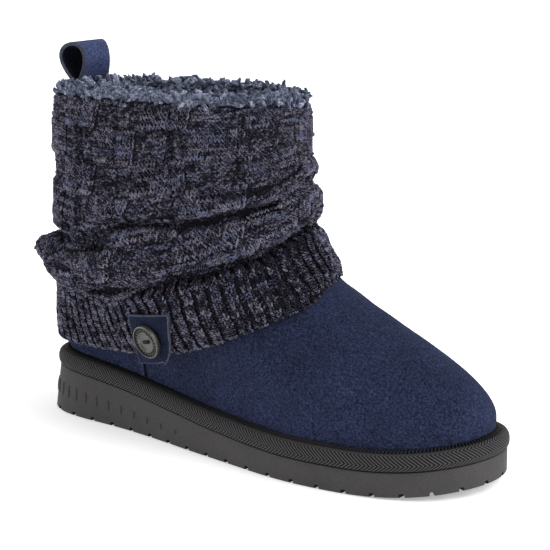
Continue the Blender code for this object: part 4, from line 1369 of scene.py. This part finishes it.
class BOOT_OT_cuff(bpy.types.Operator):
    """Knits the cuff: a dark backing and every stitch on it"""

    bl_idname = "boot.cuff"
    bl_label = "Knit cuff"

    def execute(self, context):
        count = 2 * sizes().stitches_round
        shares = (np.arange(count) + 0.5) / count
        bands = ((-1, -0.1, 8), (0, 1, 50), (1.02, 2, 60), (2.02, 4, 90), (4.1, 5, 9))
        levels = np.concatenate([np.linspace(*band) for band in bands])
        marks = np.linspace(-1, 5, 25)
        followed = np.stack([wale_turns(shares, level, CUFF_TWIST) for level in marks])
        paths = [np.array([np.interp(level, marks, wale) for wale in followed.T]) for level in levels]
        grid = np.stack([cuff_point(path, level) for path, level in zip(paths, levels)])
        self.backing(shares, grid)
        deep = np.stack([dents(path, line[:, 2])[1] for path, line in zip(paths, grid)])
        grid = np.concatenate([grid, deep[..., None]], -1)
        split = int(np.searchsorted(levels, 1.0)) + 1
        rib = self.rows_of(grid[: split + 1], sizes().rib_rows)
        rest = self.rows_of(grid[split:], sizes().cuff_rows)
        self.stitches(np.concatenate([rib, rest]), yarn_finish("marled_yarn"))
        return {"FINISHED"}

    def rows_of(self, grid, count):
        """Points at the middle of each row of stitches, spaced evenly up each column."""
        step = np.linalg.norm(np.diff(grid[..., :3], axis=0), axis=-1)
        length = np.concatenate([np.zeros((1, grid.shape[1])), np.cumsum(step, axis=0)])
        wanted = (np.arange(count) + 0.5) / count
        made = np.empty((count, grid.shape[1], grid.shape[2]))
        for column in range(grid.shape[1]):
            at = wanted * length[-1, column]
            for axis in range(grid.shape[2]):
                made[:, column, axis] = np.interp(at, length[:, column], grid[:, column, axis])
        return made

    def backing(self, shares, grid):
        """The dark sleeve that shows between the stitches: the knit's own yarn, darkened as painted shade
        for the gaps.
        """
        east = np.roll(grid, -1, 1) - np.roll(grid, 1, 1)
        north = np.gradient(grid, axis=0)
        out = unit(np.cross(east, north))
        outer = (grid - out * BACKING_SINK)[4:-4:2]
        inner = []
        for share in np.linspace(0, 1, 12):
            turns = wale_turns(shares, 4 * (1 - share), CUFF_TWIST)
            height = COLLAR_HEIGHT + (hem_height(turns) - COLLAR_HEIGHT) * share
            inner.append(skin(turns, rise_at(turns, height), CUFF_SLACK + seam_raise(turns)))
        rows = [row[::2] for row in [*outer, *inner]]
        sleeve = ring("cuff_backing", rows, replaces=["knit_cuff"], slot="knit")
        paint(sleeve, backing_finish("yarn_shadow", times(shade("yarn_middle"), 0.26)))

    def stitches(self, rows, yarn):
        """Both legs of every stitch, knit or purled by the rib and the basketweave."""
        rng = np.random.default_rng(3)
        deep, rows = rows[:, 1::2, 3], rows[..., :3]
        count, columns = rows.shape[0], rows.shape[1] // 2
        at = rows[:, 1::2]
        east = (np.roll(rows, -1, 1) - np.roll(rows, 1, 1))[:, 1::2]
        north = np.gradient(rows, axis=0)[:, 1::2]
        width = np.linalg.norm(east, axis=-1, keepdims=True)
        height = np.linalg.norm(north, axis=-1, keepdims=True)
        e = east / width
        out = unit(np.cross(e, north))
        n = np.cross(out, e)
        row, column = np.meshgrid(np.arange(count), np.arange(columns), indexing="ij")
        block = sizes().block
        woven = (column // block + (row - sizes().rib_rows) // sizes().block_rows) % 2 == 0
        knit = np.where(row < sizes().rib_rows, column % 3 < 2, woven)
        knit |= row >= count - 2
        proud = np.where(knit, BLOCK_PROUD, -BLOCK_PROUD)[..., None]
        in_rib = (row < sizes().rib_rows)[..., None]
        proud = np.where(in_rib, np.where(knit[..., None], RIB_KNIT_PROUD, -RIB_PURL_SUNK), proud)
        edge = (np.minimum(column % block, block - 1 - column % block) == 0)[..., None] & ~in_rib
        proud = proud - BLOCK_EDGE * edge
        ledge = ((row - sizes().rib_rows) % sizes().block_rows == 0) & knit & ~in_rib[..., 0]
        proud = proud + BLOCK_EDGE * ledge[..., None]
        run = rng.standard_normal((count, columns))
        marl = sum(np.roll(run, k, axis=1) for k in range(4)) / 2
        # Painted shade: the yarn is darker the deeper it lies in a trough of the cuff's folds.
        marl = np.clip(0.40 + 0.16 * marl, 0, 1) - 0.33 * deep + 0.2 * ledge + 0.08 * knit
        # Painted shade: the rib is darker over the instep, where the fold above it shades it.
        instep_shade = np.exp(-((((column + 0.5) / columns - 0.46) / 0.07) ** 2))
        marl -= 0.30 * instep_shade * in_rib[..., 0]
        starts = zip(rng.integers(0, count, YARN_RUNS), rng.integers(0, columns, YARN_RUNS))
        for start_row, start in starts:
            marl[start_row, (start + np.arange(RUN_LENGTH)) % columns] += 0.28
        drift = rng.standard_normal((count, columns))
        blue = np.clip(0.32 + 0.17 * sum(np.roll(drift, k, axis=1) for k in range(6)) / 2.4, 0, 1)
        shape = capsule(4, 3)
        middle = (count + sizes().rib_rows) // 2
        parts = {
            "cuff_ribbing": row < sizes().rib_rows,
            "cuff_stitches_low": (row >= sizes().rib_rows) & (row < middle),
            "cuff_stitches_high": row >= middle,
        }
        places = (at, e, n, out, width, height, proud, marl[..., None], blue[..., None])
        for name, mine in parts.items():
            legs = []
            for leg in (0, 1):
                legs.append(self.legs([v[mine & knit] for v in places], leg, True, rng))
                legs.append(self.legs([v[mine & ~knit] for v in places], leg, False, rng))
            paint(strands(name, shape, *(np.concatenate(v) for v in zip(*legs)), slot="knit"), yarn)

    def legs(self, places, leg, knit, rng):
        """One leg of each stitch: of a V where it is knit, and of a flat bump where it is purled.
        Gives its middle, its three sizes as vectors, and its colours."""
        p, e, n, o, w, h, lift, marl, blue = places
        some = len(p)

        def wobble(size):
            return size * rng.standard_normal((some, 1))

        side = 1 if leg else -1
        if knit:
            middle = p + e * w * (0.22 * side + wobble(0.04)) + n * h * wobble(0.06)
            lean = 0.40 * side + wobble(0.2)
            long_size, wide_size = h * 1.5, w * 0.5
        else:
            middle = p + e * w * (0.5 * leg + wobble(0.07)) + n * h * (0.25 * side + wobble(0.09))
            lean = math.pi / 2 + wobble(0.45)
            long_size, wide_size = w * 1.0, h * 0.6
        along_yarn = np.cos(lean) * n + np.sin(lean) * e
        across = unit(np.cross(along_yarn, o))
        grow = 1 + wobble(0.08)
        tip = o * (0.35 + wobble(0.06)) * long_size * (0.18 if knit else 0.0)
        middle = middle + o * (lift - STITCH_SINK + wobble(0.00012))
        long = (along_yarn * long_size + tip) * grow
        tone = np.clip(marl + wobble(0.24), 0, 1)
        tint = np.clip(blue + wobble(0.05), 0, 1)
        values = np.concatenate([tone, tint, rng.uniform(0, 1, (some, 1))], 1)
        return middle, long, across * wide_size * grow, o * STITCH_THICK * grow, values


def slab(name, outer, inner, frayed, **known):
    """A strap or flap from two like grids of points, closed round its edges. The edges are the
    second material, with the frayed sides of the face, and the back is the third. Frayed is how
    many of the grid's directions, columns first, have their outermost faces frayed."""
    points = np.stack([outer, inner])
    rows, columns = points.shape[1:3]
    size = rows * columns
    faces = grid_faces(rows, columns, False, False)
    edge = [(r, 0) for r in range(rows - 1, 0, -1)] + [(0, c) for c in range(columns - 1)]
    edge += [(r, columns - 1) for r in range(rows - 1)] + [(rows - 1, c) for c in range(columns - 1, 0, -1)]
    border = np.array([r * columns + c for r, c in edge])
    following = np.roll(border, -1)
    rim_faces = np.stack([following, border, border + size, following + size], -1)
    every = np.concatenate([faces, faces[:, ::-1] + size, rim_faces])
    u = np.broadcast_to(np.linspace(0, 1, columns), (rows, columns)).ravel()
    v = np.repeat(np.linspace(0, 1, rows), columns)
    uv = np.stack([np.tile(u, 2), np.tile(v, 2)], -1)[every]
    piece = mesh_piece(name, points, every, uv, **known)
    marks = np.zeros(len(every), np.int32)
    marks[len(faces):2 * len(faces)] = 2
    r, c = np.divmod(np.arange(len(faces)), columns - 1)
    fray = (r == 0) | (r == rows - 2)
    if frayed > 1:
        fray |= (c == 0) | (c == columns - 2)
    marks[:len(faces)] = fray
    marks[2 * len(faces):] = 1
    piece.data.polygons.foreach_set("material_index", marks)
    soften(piece, FINE_BEVEL, 50)
    bpy.ops.object.shade_smooth_by_angle(angle=math.radians(60))
    return piece


class BOOT_OT_loop(bpy.types.Operator):
    """Makes the pull loop, one suede strap bent in a teardrop"""

    bl_idname = "boot.loop"
    bl_label = "Pull loop"

    def execute(self, context):
        back_leg = UPPER_WALL + CLEAR + LOOP_WALL / 2
        front_leg = back_leg + LOOP_WALL + CLEAR
        middle = (back_leg + front_leg) / 2
        neck = COLLAR_HEIGHT + ROLL_HEIGHT
        low, top = COLLAR_HEIGHT - LOOP_TAIL, COLLAR_HEIGHT + LOOP_RISE
        path = [(back_leg, height) for height in np.linspace(low, neck, 14)]
        steps = 44
        for i in range(1, steps):
            angle = 2 * math.pi * i / steps
            lean = LOOP_LEAN if i < steps / 2 else 1 - LOOP_LEAN
            swing = math.sin(angle) * math.sin(angle / 2) * LOOP_DEPTH * lean / 0.77
            share = (1 - math.cos(angle)) / 2
            leg = (back_leg if i < steps / 2 else front_leg) * (1 - share) + middle * share
            path.append((leg - swing, neck + (top - neck) * share))
        path += [(front_leg, height) for height in np.linspace(neck, low, 14)]
        path = np.array(path)
        ahead = unit(np.gradient(path, axis=0))
        side = np.stack([-ahead[:, 1], ahead[:, 0]], -1) * LOOP_WALL / 2
        across = np.concatenate([[-1], np.linspace(-0.95, 0.95, 15), [1]])
        across = across * LOOP_WIDTH / (2 * math.pi * SHAFT_WIDTH)

        def edge(points, turn):
            height = np.minimum(points[:, 1], COLLAR_HEIGHT)
            row = skin(turn + 0 * height, rise_at(turn + 0 * height, height), -points[:, 0])
            straight = skin(0 * height, rise_at(0 * height, height), -points[:, 0])
            flat = smooth(COLLAR_HEIGHT + CUFF_TOP, top, points[:, 1])
            row[:, 0] += flat * (straight[:, 0] - row[:, 0])
            row[:, 2] = points[:, 1]
            return row

        outer = [edge(path + side, turn) for turn in across]
        inner = [edge(path - side, turn) for turn in across]
        loop = slab("suede_pull_loop", outer, inner, 1, replaces=["pull_loop"], slot="suede")
        suede = suede_finish("loop_suede", times(shade("suede"), 2.9), 1.6, 0.6)
        # Painted shade: the strap's back is the suede much darkened, for the shade inside the loop.
        back = backing_finish("loop_flesh_side", times(shade("suede"), 0.3))
        paint(loop, suede, edge_finish("loop_edge", times(shade("raw_edge"), 0.95)), back)
        return {"FINISHED"}


class BOOT_OT_tab(bpy.types.Operator):
    """Makes the suede tab on the cuff's hem"""

    bl_idname = "boot.tab"
    bl_label = "Side tab"

    def execute(self, context):
        border = 0.045
        across = np.concatenate([[-1], np.linspace(border - 1, 1 - border, 23), [1]])
        curls = [TAB_CURL * np.clip(across, 0, 1) ** 3 * max(0, -up) ** 3 for up in across]
        outer = [tab_point(across, up, curl + TAB_WALL) for up, curl in zip(across, curls)]
        inner = [tab_point(across, up, curl) for up, curl in zip(across, curls)]
        tab = slab("suede_tab", outer, inner, 2, replaces=["side_tab"], slot="suede")
        suede = suede_finish("tab_suede", times(shade("suede"), 0.55), 2.2, 0.7)
        paint(tab, suede, edge_finish("tab_edge", shade("raw_edge")), suede)
        return {"FINISHED"}


class BOOT_OT_button(bpy.types.Operator):
    """Makes the button, its ring of dashes and the thread that holds it"""

    bl_idname = "boot.button"
    bl_label = "Button"

    def execute(self, context):
        radius = BUTTON_WIDTH / 2
        profile = [
            (0.0, 0.0),
            (radius * 0.72, 0.0),
            (radius * 0.98, BUTTON_HEIGHT * 0.30),
            (radius, BUTTON_HEIGHT * 0.62),
            (radius * 0.985, BUTTON_HEIGHT * 0.92),
            (radius * 0.95, BUTTON_HEIGHT),
            (radius * 0.90, BUTTON_HEIGHT),
            (radius * 0.86, BUTTON_HEIGHT * 0.80),
            (radius * 0.64, BUTTON_HEIGHT * 0.80),
            (radius * 0.61, BUTTON_HEIGHT * 0.97),
            (radius * 0.55, BUTTON_HEIGHT * 0.98),
            (radius * 0.50, BUTTON_HEIGHT - BUTTON_DISH),
            (radius * 0.2, BUTTON_HEIGHT - BUTTON_DISH * 1.1),
            (0.0, BUTTON_HEIGHT - BUTTON_DISH * 1.1),
        ]
        mesh = bpy.data.meshes.new("round_button")
        edges = [(i, i + 1) for i in range(len(profile) - 1)]
        mesh.from_pydata([(r, 0, z) for r, z in profile], edges, [])
        button = bpy.data.objects.new("round_button", mesh)
        context.collection.objects.link(button)
        select_only(button)
        bpy.ops.object.mode_set(mode="EDIT")
        bpy.ops.mesh.select_all(action="SELECT")
        bpy.ops.mesh.spin(steps=64, angle=2 * math.pi, center=(0, 0, 0), axis=(0, 0, 1))
        bpy.ops.mesh.select_all(action="SELECT")
        bpy.ops.mesh.remove_doubles(threshold=1e-6)
        bpy.ops.mesh.normals_make_consistent(inside=False)
        bpy.ops.object.mode_set(mode="OBJECT")
        for side in (-1, 1):
            bpy.ops.object.select_all(action="DESELECT")
            bpy.ops.mesh.primitive_cylinder_add(
                vertices=20, radius=BUTTON_HOLE / 2, depth=2 * BUTTON_HEIGHT,
                location=(side * BUTTON_HOLE_PITCH / 2, 0, BUTTON_HEIGHT),
            )
            cut(button, bpy.context.object)
        soften(button, 0.4 * FINE_BEVEL, 35)
        bpy.ops.object.shade_smooth_by_angle(angle=math.radians(30))
        marks = []
        for face in button.data.polygons:
            in_channel = radius * 0.63 < face.center.xy.length < radius * 0.88
            marks.append(int(in_channel and face.center.z > BUTTON_HEIGHT / 2))
        turned = self.place()
        dashes = self.dashes(turned, radius)
        thread = self.thread(turned)
        button.data.transform(turned)
        settle(button, ["button"])
        pewter = plain_finish("pewter", shade("metal"), 0.42, 0.75, 0.00006, 900)
        channel = plain_finish("dark_pewter", times(shade("metal"), 0.07), 0.6, 0.3, 0.00004, 900)
        paint(button, pewter, channel)
        button.data.polygons.foreach_set("material_index", marks)
        paint(dashes, pewter)
        paint(thread, plain_finish("button_thread", shade("thread"), 0.7, scale=2500))
        return {"FINISHED"}

    def place(self):
        """Where the button sits on the tab, and how it is turned."""
        wall = np.array(TAB_WALL)
        spots = [(0.0, BUTTON_UP), (0.35, BUTTON_UP), (0.0, BUTTON_UP + 0.4)]
        at, ahead, above = (Vector(tab_point(np.array(a), np.array(u), wall)) for a, u in spots)
        forward = (ahead - at).normalized()
        normal = forward.cross(above - at).normalized()
        steps = (-0.5, 0, 0.5)
        near = [tab_point(np.array(a), np.array(BUTTON_UP + u), wall) for a in steps for u in steps]
        lift = max((Vector(point) - at).dot(normal) for point in near)
        turned = Matrix((forward, normal.cross(forward), normal)).transposed().to_4x4()
        return Matrix.Translation(at + normal * (lift + CLEAR) + Vector(MOVE)) @ turned

    def on_button(self, turned, name, at, long, wide, thick, shape, slot):
        """Strands laid out flat round the button's middle, and turned on to the tab with it."""
        sides = (np.array(v) for v in (long, wide, thick))
        piece = strands(name, shape, np.array(at) - MOVE, *sides, slot=slot)
        piece.data.transform(turned)
        return piece

    def dashes(self, turned, radius):
        """A ring of short raised dashes in the button's channel."""
        angles = np.arange(BUTTON_DASHES) / BUTTON_DASHES * 2 * math.pi
        outwards = np.stack([np.cos(angles), np.sin(angles), 0 * angles], -1)
        beside = np.stack([-np.sin(angles), np.cos(angles), 0 * angles], -1)
        up = np.broadcast_to((0, 0, 1.0), outwards.shape)
        at = outwards * radius * 0.75 + up * BUTTON_HEIGHT * 0.82
        return self.on_button(turned, "button_dashes", at, outwards * radius * 0.15, -beside * 0.0007,
                              up * 0.0004, capsule(8, 6), "button_metal")

    def thread(self, turned):
        """Four turns of thread from hole to hole."""
        ys = np.array([-0.00066, -0.00022, 0.00022, 0.00066])
        at = [(0, y, BUTTON_HEIGHT - BUTTON_DISH * 0.82) for y in ys]
        long = np.broadcast_to((BUTTON_HOLE_PITCH * 1.4, 0, 0), (4, 3))
        wide = np.broadcast_to((0, 0.0006, 0), (4, 3))
        thick = np.broadcast_to((0, 0, -0.0013), (4, 3))
        shape = capsule(8, 8)
        return self.on_button(turned, "button_thread", at, long, -wide, -thick, shape, "binding_tape")


# Stage


def sun_light(name, place, power, spread):
    """A far, broad light from the side that place gives, spread in degrees."""
    lamp = bpy.data.lights.new(name, "SUN")
    lamp.energy, lamp.angle = power, math.radians(spread)
    light = bpy.data.objects.new(name, lamp)
    bpy.context.collection.objects.link(light)
    light.location = place
    light.rotation_euler = (-Vector(place)).to_track_quat("-Z", "Y").to_euler()


class BOOT_OT_stage(bpy.types.Operator):
    """Sets the floor, the lights and the camera"""

    bl_idname = "boot.stage"
    bl_label = "Stage"

    def execute(self, context):
        bpy.ops.object.select_all(action="DESELECT")
        bpy.ops.mesh.primitive_plane_add(size=30)
        floor = bpy.context.object
        floor.name = "floor"
        paper = Finish("paper", 0.9)
        paper.done((0.95, 0.95, 0.95))
        paper.shader.inputs["Emission Color"].default_value = (1, 1, 1, 1)
        paper.shader.inputs["Emission Strength"].default_value = 0.35
        paint(floor, paper.material)
        sun_light("right", (1.0, 0.3, 0.8), 2.25, 50)
        sun_light("left", (-1.0, -0.35, 0.45), 1.0, 50)
        sun_light("above", (0.0, 0.4, 1.0), 0.9, 90)
        world = context.scene.world or bpy.data.worlds.new("World")
        context.scene.world = world
        world.use_nodes = True
        sky = world.node_tree.nodes["Background"]
        sky.inputs["Color"].default_value = (1, 1, 1, 1)
        sky.inputs["Strength"].default_value = 0.48
        context.scene.view_settings.view_transform = "Standard"
        context.scene.view_settings.look = "None"
        lens = bpy.data.cameras.new("camera")
        camera = bpy.data.objects.new("camera", lens)
        context.collection.objects.link(camera)
        azimuth, elevation = math.radians(CAMERA_AZIMUTH), math.radians(CAMERA_ELEVATION)
        roll = math.radians(CAMERA_ROLL)
        back = Vector((math.sin(azimuth) * math.cos(elevation), -math.cos(azimuth) * math.cos(elevation),
                       math.sin(elevation)))
        right0 = Vector((math.cos(azimuth), math.sin(azimuth), 0))
        up0 = back.cross(right0)
        right = math.cos(roll) * right0 + math.sin(roll) * up0
        up = -math.sin(roll) * right0 + math.cos(roll) * up0
        aim = Vector(CAMERA_AIM) + Vector(MOVE)
        turned = Matrix((right, up, back)).transposed().to_4x4()
        camera.matrix_world = Matrix.Translation(aim + back * CAMERA_DISTANCE) @ turned
        lens.sensor_fit = "HORIZONTAL"
        lens.angle = 2 * math.atan(HALF_PICTURE / FOCAL_LENGTH)
        lens.clip_start = 0.01
        context.scene.camera = camera
        return {"FINISHED"}


class BOOT_PT_panel(bpy.types.Panel):
    """The boot's pieces, sizes and colours"""

    bl_idname = "BOOT_PT_panel"
    bl_label = "Boot"
    bl_space_type = "VIEW_3D"
    bl_region_type = "UI"
    bl_category = "Boot"

    def draw(self, context):
        for operator in OPERATORS:
            self.layout.operator(operator.bl_idname)
        for group in (context.scene.boot_sizes, context.scene.boot_colours):
            for name in group.__annotations__:
                self.layout.prop(group, name)


OPERATORS = (
    BOOT_OT_stage,
    BOOT_OT_outsole,
    BOOT_OT_binding,
    BOOT_OT_insole,
    BOOT_OT_upper,
    BOOT_OT_lining,
    BOOT_OT_cuff,
    BOOT_OT_loop,
    BOOT_OT_tab,
    BOOT_OT_button,
)


def register():
    for kind in (BootSizes, BootColours, *OPERATORS, BOOT_PT_panel):
        bpy.utils.register_class(kind)
    bpy.types.Scene.boot_sizes = bpy.props.PointerProperty(type=BootSizes)
    bpy.types.Scene.boot_colours = bpy.props.PointerProperty(type=BootColours)


def unregister():
    del bpy.types.Scene.boot_sizes
    del bpy.types.Scene.boot_colours
    for kind in (BOOT_PT_panel, *reversed(OPERATORS), BootColours, BootSizes):
        bpy.utils.unregister_class(kind)


def main():
    register()
    for operator in OPERATORS:
        group, name = operator.bl_idname.split(".")
        getattr(getattr(bpy.ops, group), name)()


if __name__ == "__main__":
    main()
